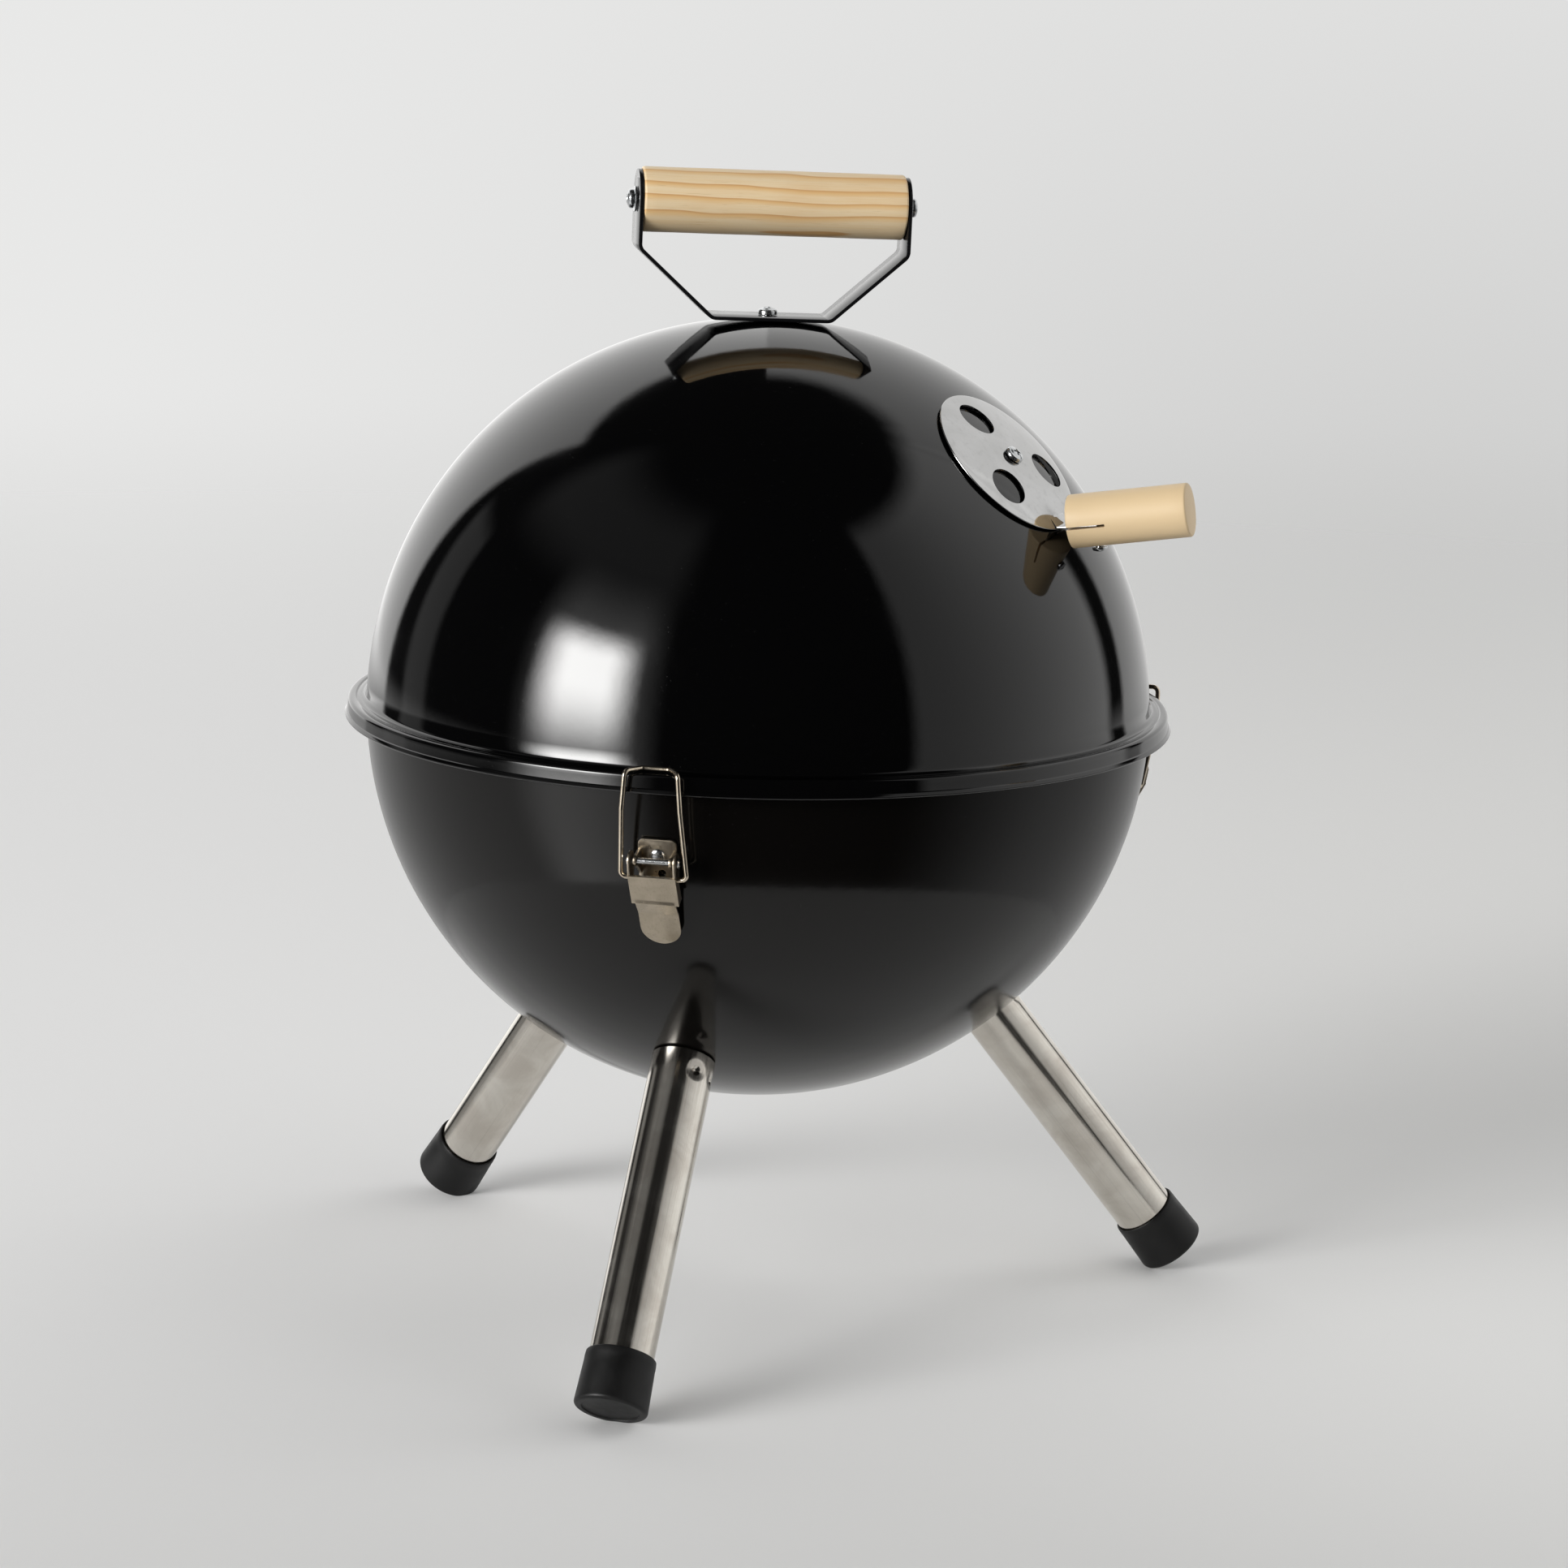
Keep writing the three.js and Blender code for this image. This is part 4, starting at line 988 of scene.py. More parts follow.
# Drawing axes for the grain: x along the knob, z square to the tab.
KNOB_GRAIN = Matrix(((0, 0, 1, 0), (0, 1, 0, 0), (1, 0, 0, 0), (0, 0, 0, 1)))
knob_mesh = mesh_of(turned(knob_profile, 96), "knob", KNOB_PLACE, KNOB_GRAIN)
kerf = bmesh.new()
bmesh.ops.create_cube(kerf, size=1)
kerf_size = Matrix.Diagonal((KERF_WIDTH, 40, 2 * KERF_DEPTH, 1))
kerf.transform(Matrix.Translation((-KERF_DROP, 0, 0)) @ kerf_size)
kerf_mesh = mesh_of(kerf, "kerf", KNOB_PLACE, KNOB_GRAIN)
bore_place = KNOB_PLACE @ Matrix.Translation((0, 0, KNOB_SCREW_IN)) @ ALONG_X
bore_mesh = mesh_of(rod(1.8, -20, 6.5, 24), "bore", bore_place, KNOB_GRAIN)
knob = shown("damper_knob_sawn", carved(knob_mesh, [kerf_mesh, bore_mesh]), KNOB_WOOD)
ride(knob, "damper", "knob_wood", "damper_knob")

knob_seat = KNOB_PLACE @ Matrix.Translation((-KNOB_R - GAP, 0, KNOB_SCREW_IN))
knob_seat = knob_seat @ Matrix.Rotation(-pi / 2, 4, "Y")
knob_screw = screw_mesh("screw", 3, 2, 1.5, 16, knob_seat)
ride(shown("damper_knob_screw_cross", knob_screw, ZINC), "damper", "zinc_steel", "damper_knob_screw")
damper_seat = VENT_PLACE @ Matrix.Translation((0, 0, DISC_TOP + GAP))
damper_screw = screw_mesh("screw", 3.9, 2.6, 2, 12, damper_seat, 0.9)
ride(shown("damper_screw_cross", damper_screw, ZINC), "lid", "zinc_steel", "damper_screw")

# %% [markdown]
# ## Legs
# A leg is a square-cut tube. Near its upper end it is punched inwards onto the plug inside, which
# leaves dimples with a small pit. Those are pressed into the finely turned tube by moving its points.

# %% Leg tubes
TUBE_R = 12.7
TUBE_WALL = 1.2
TUBE_TOP = DOME_R - 0.1
CAP_TOP = 285.6
CAP_END = 307.5
CAP_FLOOR = 4.7
DIMPLE_DOWN = 8.0
DIMPLES = [radians(a) for a in (-2, 46, 178, 226)]
TUBE_SPINS = [radians(a) for a in (0, 73, 36)]

tube_end = CAP_END - CAP_FLOOR - GAP
fine = [TUBE_TOP + 0.35 + 0.5 * k for k in range(34)]
coarse = [fine[-1] + (tube_end - fine[-1]) * k / 10 for k in range(1, 11)]
tube_inner = TUBE_R - TUBE_WALL
tube_profile = [(tube_inner, TUBE_TOP), (TUBE_R - 0.3, TUBE_TOP), *[(TUBE_R, z) for z in fine + coarse],
                (tube_inner, tube_end), *[(tube_inner, z) for z in reversed(fine)], (tube_inner, TUBE_TOP)]
tube = turned(tube_profile, 160)
for v in tube.verts:
    angle = atan2(v.co.y, v.co.x)
    for centre in DIMPLES:
        across = (angle - centre + pi) % (2 * pi) - pi
        reach = sqrt((across * TUBE_R) ** 2 + (v.co.z - TUBE_TOP - DIMPLE_DOWN) ** 2)
        if reach < 5.0:
            radial = Vector((v.co.x, v.co.y))
            push = 0.5 * (1 - (reach / 5.0) ** 2) ** 2
            if reach < 1.5:
                push += 1.0 * (1 - (reach / 1.5) ** 2) ** 0.5
            radial *= 1 - push / radial.length
            v.co.x, v.co.y = radial
for k, spin in enumerate(TUBE_SPINS):
    tube_mesh = mesh_of(tube.copy(), "tube", LEG_PLACE @ Matrix.Rotation(spin, 4, "Z"))
    piece = copied_round(f"leg_{k + 1}_tube_drawn", tube_mesh, TUBE_STEEL, 1, k * THIRD)
    ride(piece, "bowl", "stainless_tube", f"leg_{k + 1}_tube")
tube.free()

# %% Rubber feet
foot_profile = [
    (0, CAP_END - CAP_FLOOR),
    (TUBE_R + 0.1, CAP_END - CAP_FLOOR),
    (TUBE_R + 0.1, CAP_TOP + 0.6),
    *arc(13.4, CAP_TOP + 0.4, 0.4, 180, 360, 6),
    (13.9, CAP_TOP + 1.5),
    (13.95, CAP_TOP + 3.0),
    *[(13.9 + 0.6 * k / 6, CAP_TOP + 3.4 + (CAP_END - CAP_TOP - 5.0) * k / 6) for k in range(7)],
    *arc(13, CAP_END - 1.5, 1.5, 6, 90, 8),
    (11.5, CAP_END),
    (11.2, CAP_END - 0.5),
    (0, CAP_END - 0.5),
]
foot_mesh = mesh_of(turned(foot_profile, 96), "foot", LEG_PLACE)
for v in foot_mesh.vertices:
    v.co.z = max(v.co.z, 0.0)
feet = copied_round("leg_feet", foot_mesh, RUBBER)
ride(feet, "bowl", "black_rubber", "leg_1_foot", "leg_2_foot", "leg_3_foot")


# %% Leg plugs, bolts and washers
def hexagon(across_flats, height, bore=0.0, around=48):
    """A nut or bolt head with its corners turned off, on z = 0."""
    flat = across_flats / 2
    bm = turned([(bore, 0), (flat * 1.155, 0), (flat * 1.155, height), (bore, height), (bore, 0)], around)
    for v in bm.verts:
        radial = Vector((v.co.x, v.co.y))
        if radial.length > bore + 0.1:
            angle = Vector((1, 0)).angle_signed(radial)
            local = (angle + pi / 6) % (pi / 3) - pi / 6
            edge = flat / cos(local)
            v.co.x, v.co.y = radial.normalized() * edge
    return bm


plug_top = DOME_R + 0.4
plug_profile = [(0, plug_top + 14), (3.4, plug_top + 14), (3.4, plug_top), (11.0, plug_top),
                (11.2, plug_top + 0.3), (11.2, plug_top + 18), (0, plug_top + 18)]
plugs = copied_round("leg_plugs", mesh_of(turned(plug_profile, 48), "plug", LEG_PLACE), STRAP_BLACK)
ride(plugs, "bowl", "black_strap", "leg_1_plug", "leg_2_plug", "leg_3_plug")
washer_top = INNER_R - 1
leg_washer = washer_mesh("washer", BOLT_HOLE_R, 8, washer_top - 1.2, washer_top, LEG_PLACE)
washers = copied_round("leg_washers", leg_washer, ZINC)
ride(washers, "bowl", "zinc_steel", "leg_1_washer", "leg_2_washer", "leg_3_washer")
head_seat = washer_top - 1.5 - 4
head = mesh_of(hexagon(10, 4, 0.01), "head", LEG_PLACE @ Matrix.Translation((0, 0, head_seat)))
shank = mesh_of(rod(3.0, head_seat + 1, plug_top + 13), "shank", LEG_PLACE)
bolts = copied_round("leg_bolts", joined([head, shank], "bolts"), ZINC)
ride(bolts, "bowl", "zinc_steel", "leg_1_bolt", "leg_2_bolt", "leg_3_bolt")

# %% [markdown]
# ## Draw clips
# A bracket is riveted to the bowl and holds a lever on a pin. A wire bail hangs in the lever's
# sides, reaches up outside the skirt and hooks over the ledge. The parts are pressed sheet, so each
# is drawn as plates in the plane through the kettle's axis, with small rounded edges.

# %% Clip points
PIN = (165.0, -29.3)
BAIL_PIVOT = (163.9, -35.9)
LEVER_CORNER = Vector((168.0, -35.0))
LEVER_TIP = Vector((149.4, -66.0))
LEVER_STEP = 14.0
JOGGLE_RUN = 6.5
LEVER_HALF = 9.4
LEVER_SHEET = 1.0
EAR_HALF = 7.6


def on_bracket(offset, height):
    out = Vector((cos(BRACKET_ELEVATION), -sin(BRACKET_ELEVATION)))
    down = Vector((out.y, -out.x))
    place = Vector((0, BOWL_Z)) + out * (DOME_R + GAP + height) + down * offset
    return tuple(place)


def side_plate(outline, x0, x1, edge=0.2):
    """A plate of (out, up) points between two tangential places."""
    bm = plate(outline, x1 - x0, edge)
    return mesh_of(bm, "side", OUT_UP @ Matrix.Translation((0, 0, x0)))


# %% Bracket, rivets and pin
ear_outline = [on_bracket(-9, SHEET / 2), on_bracket(2, SHEET / 2), *arc(*PIN, 2.2, -115, 100, 12)]
bracket_parts = [
    side_plate(ear_outline, -EAR_HALF, -EAR_HALF + SHEET),
    side_plate(ear_outline, EAR_HALF - SHEET, EAR_HALF),
]
corner_r = 2.2
BRACKET_HALF = 13
BRACKET_HOLE_R = 1.8
SPARE_HOLE_R = 1.6
back_outline = [
    *arc(EAR_HALF - corner_r, BRACKET_HALF - corner_r, corner_r, 0, 90, 5),
    *arc(corner_r - EAR_HALF, BRACKET_HALF - corner_r, corner_r, 90, 180, 5),
    *arc(corner_r - EAR_HALF, corner_r - BRACKET_HALF, corner_r, 180, 270, 5),
    *arc(EAR_HALF - corner_r, corner_r - BRACKET_HALF, corner_r, 270, 360, 5),
]
back_place = rivet_place(0) @ Matrix.Translation((0, 0, DOME_R + GAP))
back = mesh_of(plate(back_outline, SHEET, 0.25), "back", back_place)
back_holes = [
    mesh_of(rod(BRACKET_HOLE_R, 150, 170, 24), "hole", rivet_place(offset)) for offset in RIVET_OFFSETS
]
spare_place = rivet_place(1) @ Matrix.Translation((1.5, 0, 0))
back_holes.append(mesh_of(rod(SPARE_HOLE_R, 150, 170, 24), "hole", spare_place))
bracket_parts.append(carved(back, [joined(back_holes, "holes")]))
brackets = copied_round("clip_brackets", joined(bracket_parts, "bracket"), NICKEL, first=CLIP_TURN)
ride(brackets, "bowl", "nickel_sheet", "clip_1_bracket", "clip_2_bracket", "clip_3_bracket")


def rivet_profile(z0, z1, shank_r=1.6, head_r=3.2, head_h=1.1):
    low = [(r, z0 - z) for r, z in arc(0, 0, 1, 90, 0, 6)]
    low = [(head_r * r, z0 - head_h * (z0 - z)) for r, z in low]
    high = [(head_r * r, z1 + head_h * z) for r, z in arc(0, 0, 1, 0, 90, 6)]
    low[0] = (0, z0 - head_h)
    high[-1] = (0, z1 + head_h)
    return [*low, (shank_r, z0), (shank_r, z1), *high]


clip_rivet_profile = rivet_profile(INNER_R - 1, DOME_R + SHEET + 2 * GAP)
clip_rivets = [
    mesh_of(turned(clip_rivet_profile, 32), "rivet", rivet_place(offset)) for offset in RIVET_OFFSETS
]
rivets = copied_round("clip_rivets", joined(clip_rivets, "rivets"), ZINC, first=CLIP_TURN)
rivet_names = [f"clip_{k}_rivet_{row}" for k in (1, 2, 3) for row in ("upper", "lower")]
ride(rivets, "bowl", "zinc_steel", *rivet_names)

# Each end of the pin is peened into a low head outside the lever.
head_x = LEVER_HALF + GAP
PIN_R = 1.2
PIN_HEAD_R = 2.0
pin_far = [(PIN_R, head_x), (PIN_HEAD_R, head_x), (PIN_HEAD_R, head_x + 0.35), (1.4, head_x + 0.8),
           (0, head_x + 0.8)]
pin_profile = [*[(r, -x) for r, x in reversed(pin_far)], *pin_far]
pin_place = Matrix.Translation((0, -PIN[0], PIN[1])) @ ALONG_X
pins = copied_round("clip_pins", mesh_of(turned(pin_profile, 32), "pin", pin_place), ZINC, first=CLIP_TURN)
ride(pins, "bowl", "zinc_steel", "clip_1_pin", "clip_2_pin", "clip_3_pin")

# %% Lever
lever_along = (LEVER_TIP - LEVER_CORNER).normalized()
lever_inward = Vector((lever_along.y, -lever_along.x))
lever_length = (LEVER_TIP - LEVER_CORNER).length
JOGGLE = 2.4
TAB_HALF = LEVER_HALF - 1.4


def on_lever(run, depth):
    return tuple(LEVER_CORNER + lever_along * run + lever_inward * depth)


# The strip's x is the run down the lever and its y the depth towards the bowl.
LEVER_PLACE = Matrix((
    (0, 1, 0, 0),
    (-lever_along.x, 0, -lever_inward.x, -LEVER_CORNER.x),
    (lever_along.y, 0, lever_inward.y, LEVER_CORNER.y),
    (0, 0, 0, 1),
))
face_line = [(run, LEVER_SHEET / 2) for run in (0, 2, 5, 8, 11, LEVER_STEP)]
face_mesh = mesh_of(strip(face_line, LEVER_SHEET, lambda i: LEVER_HALF, 0.35), "face", LEVER_PLACE)
round_start = lever_length - TAB_HALF
tab_corners = [(LEVER_STEP - 2, LEVER_SHEET / 2), (LEVER_STEP, LEVER_SHEET / 2),
               (LEVER_STEP + JOGGLE_RUN, JOGGLE), (round_start, JOGGLE)]
tab_run = [tuple(p) for p in bent(tab_corners, 1.6, 4)]
tab_run += [(round_start + TAB_HALF * sin(radians(a)), JOGGLE) for a in range(6, 90, 6)]


def tab_half_width(i):
    over = max(tab_run[i][0] - round_start, 0)
    return sqrt(max(TAB_HALF ** 2 - over ** 2, 0))


tab_strip = mesh_of(strip(tab_run, LEVER_SHEET, tab_half_width, 0.3), "tab", LEVER_PLACE)
lever_side = [on_lever(0, 0.35), on_lever(LEVER_STEP, 0.35), on_lever(LEVER_STEP, 4.5),
              *arc(*BAIL_PIVOT, 2.9, 215, 175, 4), *arc(*PIN, 3.8, 165, 5, 12)]
lever_parts = [
    face_mesh,
    tab_strip,
    side_plate(lever_side, -LEVER_HALF, -LEVER_HALF + LEVER_SHEET),
    side_plate(lever_side, LEVER_HALF - LEVER_SHEET, LEVER_HALF),
]
lever_mesh = joined(lever_parts, "lever")
for k in range(3):
    lever = copied_round(f"clip_{k + 1}_lever_pressed", lever_mesh.copy(), NICKEL, 1, CLIP_TURN + k * THIRD)
    ride(lever, f"clip_{k + 1}_lever", "nickel_sheet", f"clip_{k + 1}_lever")

# %% [markdown]
# The bail is one length of spring wire. Its hook narrows to an arch that rests on the ledge, and
# its ends turn in through the lever's sides.


# %% Bail
def wire_mesh(name, points, radius, sides=16):
    curve = bpy.data.curves.new(name, "CURVE")
    curve.dimensions = "3D"
    curve.bevel_depth = radius
    curve.bevel_resolution = sides // 4
    curve.use_fill_caps = True
    spline = curve.splines.new("POLY")
    spline.points.add(len(points) - 1)
    for spot, place in zip(spline.points, points):
        spot.co = (*place, 1)
    holder = bpy.data.objects.new(name, curve)
    bpy.context.scene.collection.objects.link(holder)
    made = evaluated_mesh(holder, name)
    bpy.data.objects.remove(holder)
    bm = bmesh.new()
    bm.from_mesh(made)
    bmesh.ops.remove_doubles(bm, verts=bm.verts, dist=1e-4)
    bmesh.ops.recalc_face_normals(bm, faces=bm.faces)
    return bm


WIRE_R = 1.0
HOOK_Z = LEDGE_Z + WIRE_R + 0.5
bail_half = [(EAR_HALF + GAP, *BAIL_PIVOT), (13.0, *BAIL_PIVOT), (11.4, 170.6, -8.5),
             (10.3, 171.0, HOOK_Z), (5.5, 163.4, HOOK_Z)]
bail_corners = bail_half + [(-x, out, up) for x, out, up in reversed(bail_half)]
bail_corners = [Vector((x, -out, up)) for x, out, up in bail_corners]
bail_points = bent(bail_corners, 2.2, 7)
bail_bm = wire_mesh("bail", bail_points, WIRE_R)
bail_mesh = mesh_of(bail_bm, "bail")
for k in range(3):
    bail = copied_round(f"clip_{k + 1}_bail_wire", bail_mesh.copy(), NICKEL_WIRE, 1, CLIP_TURN + k * THIRD)
    ride(bail, f"clip_{k + 1}_bail", "nickel_wire", f"clip_{k + 1}_bail")

# %% [markdown]
# ## Wire grates
# A grate is a ring, a row of bars whose length follows the ring's chord, and two bars across them.
# That is a rule, so a node group makes the whole piece from its sizes.


# %% The grate group
def grate_group():
    tree = bpy.data.node_groups.new("wire_grate", "GeometryNodeTree")
    names = ("Ring Radius", "Ring Wire", "Bar Wire", "Pitch", "Cross Place", "Bars")
    ids = {}
    for name in names:
        kind = "NodeSocketInt" if name == "Bars" else "NodeSocketFloat"
        ids[name] = tree.interface.new_socket(name=name, in_out="INPUT", socket_type=kind).identifier
    for name, kind in (("Centre", "NodeSocketVector"), ("Finish", "NodeSocketMaterial")):
        ids[name] = tree.interface.new_socket(name=name, in_out="INPUT", socket_type=kind).identifier
    tree.interface.new_socket(name="Result", in_out="OUTPUT", socket_type="NodeSocketGeometry")
    sheet = Sheet(tree)
    entry = tree.nodes.new("NodeGroupInput")
    given = {name: Wire(sheet, entry.outputs[name]) for name in ids}

    def circle(radius, resolution):
        return sheet.node("GeometryNodeCurvePrimitiveCircle", None,
                          {"Resolution": resolution, "Radius": radius})

    def piped(curve, radius, resolution=12):
        return sheet.node("GeometryNodeCurveToMesh", None,
                          {"Curve": curve, "Profile Curve": circle(radius, resolution), "Fill Caps": True})

    def chord(place):
        return (given["Ring Radius"] * given["Ring Radius"] - place * place).math("SQRT")

    ring = piped(circle(given["Ring Radius"], 128), given["Ring Wire"])
    first = (given["Bars"] - 1) * given["Pitch"] * -0.5
    row = sheet.node("GeometryNodeMeshLine", {"mode": "OFFSET"}, {
        "Count": given["Bars"],
        "Start Location": sheet.node("ShaderNodeCombineXYZ", None, {"X": first}),
        "Offset": sheet.node("ShaderNodeCombineXYZ", None, {"X": given["Pitch"]}),
    })
    where = sheet.node("GeometryNodeInputPosition")
    split = sheet.node("ShaderNodeSeparateXYZ", None, {0: where})
    unit = sheet.node("GeometryNodeCurvePrimitiveLine", None, {"Start": (0, -1, 0), "End": (0, 1, 0)})
    scale = sheet.node("ShaderNodeCombineXYZ", None, {"X": 1.0, "Y": chord(split), "Z": 1.0})
    placed = {"Points": row, "Instance": unit, "Scale": scale}
    bars = sheet.node("GeometryNodeInstanceOnPoints", None, placed)
    bars = piped(sheet.node("GeometryNodeRealizeInstances", None, {"Geometry": bars}), given["Bar Wire"])
    parts = [ring, bars]
    for sign in (-1, 1):
        place = given["Cross Place"] * sign
        reach = chord(place)
        drop = given["Bar Wire"] * -1.2
        line = sheet.node("GeometryNodeCurvePrimitiveLine", None, {
            "Start": sheet.node("ShaderNodeCombineXYZ", None, {"X": reach * -1, "Y": place, "Z": drop}),
            "End": sheet.node("ShaderNodeCombineXYZ", None, {"X": reach, "Y": place, "Z": drop}),
        })
        parts.append(piped(line, given["Bar Wire"]))
    join = tree.nodes.new("GeometryNodeJoinGeometry")
    for part in parts:
        tree.links.new(part.socket, join.inputs[0])
    moved = sheet.node("GeometryNodeTransform", None,
                       {"Geometry": Wire(sheet, join.outputs[0]), "Translation": given["Centre"]})
    real = sheet.node("GeometryNodeRealizeInstances", None, {"Geometry": moved})
    finish = sheet.node("GeometryNodeSetMaterial", None, {"Geometry": real, "Material": given["Finish"]})
    leave = tree.nodes.new("NodeGroupOutput")
    tree.links.new(finish.socket, leave.inputs["Result"])
    return tree, ids


GRATE_TREE, GRATE_IDS = grate_group()


def grate(name, ring_r, ring_wire, bar_wire, pitch, bars, height, material):
    source = bpy.data.objects.new("grate", bpy.data.meshes.new("grate"))
    bpy.context.scene.collection.objects.link(source)
    group = source.modifiers.new("grate", "NODES")
    group.node_group = GRATE_TREE
    sizes = {"Ring Radius": ring_r, "Ring Wire": ring_wire, "Bar Wire": bar_wire,
             "Pitch": pitch, "Cross Place": ring_r * 0.25}
    for key, value in sizes.items():
        group[GRATE_IDS[key]] = value * MM
    group[GRATE_IDS["Bars"]] = bars
    group[GRATE_IDS["Centre"]] = tuple(HEART + Vector((0, 0, height * MM)))
    group[GRATE_IDS["Finish"]] = material
    made = evaluated_mesh(source, name)
    bpy.data.objects.remove(source)
    return shown(name, made, material)


# %% Both grates
GRATE_Z = -21.7
COAL_Z = -110.8
cooking = grate("cooking_grate_wire", 148.5, 2.5, 1.5, 16, 17, GRATE_Z, WIRE_CHROME)
ride(cooking, "cooking_grate", "chrome_wire", "cooking_grate")
coal = grate("charcoal_grate_wire", 98, 2, 2, 20, 9, COAL_Z, GALVANISED)
ride(coal, "charcoal_grate", "galvanised_steel", "charcoal_grate")

# %% [markdown]
# ## Inside the bowl
# Three small angle brackets are spot-welded to the wall for the cooking grate. At the bottom a thin
# plate with an upright tab opens and shuts three air holes.


# %% Grate brackets
def wall_out(up):
    return sqrt(INNER_R ** 2 - (up - BOWL_Z) ** 2) - 0.7


shelf_z = GRATE_Z - 2.5 - GAP
foot_z = shelf_z - 17
half_sheet = SHEET / 2
bracket_corner = (wall_out(shelf_z) - half_sheet - 0.3, shelf_z - half_sheet)
bracket_foot = (wall_out(foot_z) - half_sheet, foot_z)
bracket_line = bent([(143, shelf_z - half_sheet), bracket_corner, bracket_foot], 1.4, 4)
bracket_strip = strip(bracket_line, SHEET, lambda i: 6.0, 0.25)
bracket_mesh = mesh_of(bracket_strip, "bracket", turned_by(-pi / 2))
shelves = copied_round("grate_brackets", bracket_mesh, GALVANISED, 3, THIRD / 2)
ride(shelves, "bowl", "galvanised_steel", "grate_bracket_1", "grate_bracket_2", "grate_bracket_3")

# %% Floor vent
FLOOR_VENT_R = 24.0
FLOOR_R = INNER_R - 1


def floor_height(r):
    return BOWL_Z - sqrt((FLOOR_R - 1) ** 2 - r ** 2)


floor_mesh = vent_plate(FLOOR_VENT_R, 1.0, floor_height, FLOOR_HOLE_R, FLOOR_RING_R, pi / 6,
                        Matrix.Identity(4), 96)
tab_outline = [(-6, 0), (6, 0), *arc(3, 9, 3, 0, 90, 5), *arc(-3, 9, 3, 90, 180, 5)]
tab_base = Matrix.Translation((19.5, 0, BOWL_Z - FLOOR_R + 1.5))
tab_turn = Matrix(((0, 0, 1, 0), (1, 0, 0, 0), (0, 1, 0, 0), (0, 0, 0, 1)))
floor_tab = mesh_of(plate(tab_outline, 1.0, 0.2), "tab", tab_base @ tab_turn)
floor_vent = shown("bottom_damper_plate", joined([floor_mesh, floor_tab], "floor"), GALVANISED, 28)
ride(floor_vent, "bottom_damper", "galvanised_steel", "bottom_damper_disc")
rivet_top = BOWL_Z - FLOOR_R + 1 + GAP
floor_rivet = mesh_of(turned(rivet_profile(BOWL_Z - DOME_R - GAP, rivet_top, 2, 3.4, 1.0), 32), "rivet")
ride(shown("bottom_damper_rivet_turned", floor_rivet, ZINC), "bowl", "zinc_steel", "bottom_damper_rivet")

# %% Nuts inside the lid
nut_top = INNER_R - 1
NUT_SIZE = (7, 3.2, 2.3)
nut_place = HANDLE_PLACE @ Matrix.Translation((0, 0, nut_top - 3.2))
handle_nut = mesh_of(hexagon(*NUT_SIZE), "nut", nut_place)
ride(shown("handle_base_nut_hex", handle_nut, ZINC), "lid", "zinc_steel", "handle_base_nut")
nut_place = VENT_PLACE @ Matrix.Translation((0, 0, nut_top - 1.5 - 3.2))
vent_nut = mesh_of(hexagon(*NUT_SIZE), "nut", nut_place)
ride(shown("damper_nut_hex", vent_nut, ZINC), "lid", "zinc_steel", "damper_nut")
spring = washer_mesh("spring", 2.4, 5, nut_top - 1.2, nut_top, VENT_PLACE)
ride(shown("damper_spring_washer_turned", spring, ZINC), "lid", "zinc_steel", "damper_spring_washer")

# %% [markdown]
# ## Stage, light and camera
# The grill stands on pale paper in a studio. A softbox on the left makes the bright patch on the
# lid, a white wall on the right makes the broad grey reflection, and the room in front is dark, which
# is what makes enamel look black. The softbox and walls are painted on the world by direction. The
# lamps only fill the shadows, so mirrors don't show them, nor the paper that lies further away.

# %% Floor
CAMERA_AZIMUTH = radians(15.3)
NEAR_PAPER = 0.36
FAR_PAPER = 7.0


def paper_ring(name, inner, outer, mirrored, around=96):
    """A flat ring of paper; only the near one shows in mirrors, as the room does the rest."""
    bm = bmesh.new()
    edges = []
    for radius in (inner, outer):
        turn = [2 * pi * k / around for k in range(around)]
        edges.append([bm.verts.new((radius * cos(t), radius * sin(t), 0)) for t in turn if radius])
    if inner:
        for k in range(around):
            n = (k + 1) % around
            bm.faces.new((edges[0][k], edges[1][k], edges[1][n], edges[0][n]))
    else:
        bm.faces.new(edges[1])
    mesh = bpy.data.meshes.new(name)
    bm.to_mesh(mesh)
    bm.free()
    mesh.materials.append(paper)
    sheet = bpy.data.objects.new(name, mesh)
    bpy.context.scene.collection.objects.link(sheet)
    sheet.visible_glossy = mirrored
    return sheet


paper, paper_sheet = new_finish("studio_paper")
paper_place = object_place(paper_sheet)
far = paper_sheet.node("ShaderNodeVectorMath", {"operation": "LENGTH"}, {0: paper_place}, out=1)
across_paper = paper_sheet.node("ShaderNodeVectorMath", {"operation": "DOT_PRODUCT"},
                                {0: paper_place, 1: (cos(CAMERA_AZIMUTH), sin(CAMERA_AZIMUTH), 0)}, out=1)
nearer = paper_sheet.node("ShaderNodeVectorMath", {"operation": "DOT_PRODUCT"},
                          {0: paper_place, 1: (sin(CAMERA_AZIMUTH), -cos(CAMERA_AZIMUTH), 0)}, out=1)
# Painted light and shade on the paper: lighter on the left where the softbox lights it, darker to the right
# and towards the camera.
paper_tone_and_painted_light = mixed(paper_sheet, across_paper.ramp(-0.6, 0.6), (0.93, 0.93, 0.93), (0.76, 0.76, 0.75))
paper_tone_and_painted_light = mixed(paper_sheet, nearer.ramp(0.05, 0.6), paper_tone_and_painted_light, (0.62, 0.62, 0.61))
paper_look = {"Base Color": paper_tone_and_painted_light, "Roughness": 0.9}
paper_shader = paper_sheet.node("ShaderNodeBsdfPrincipled", None, paper_look)
clear = paper_sheet.node("ShaderNodeBsdfTransparent")
fade = paper_sheet.node("ShaderNodeMixShader", None, {0: far.ramp(0.7, 3.2), 1: paper_shader, 2: clear})
paper_sheet.node("ShaderNodeOutputMaterial", None, {"Surface": fade})
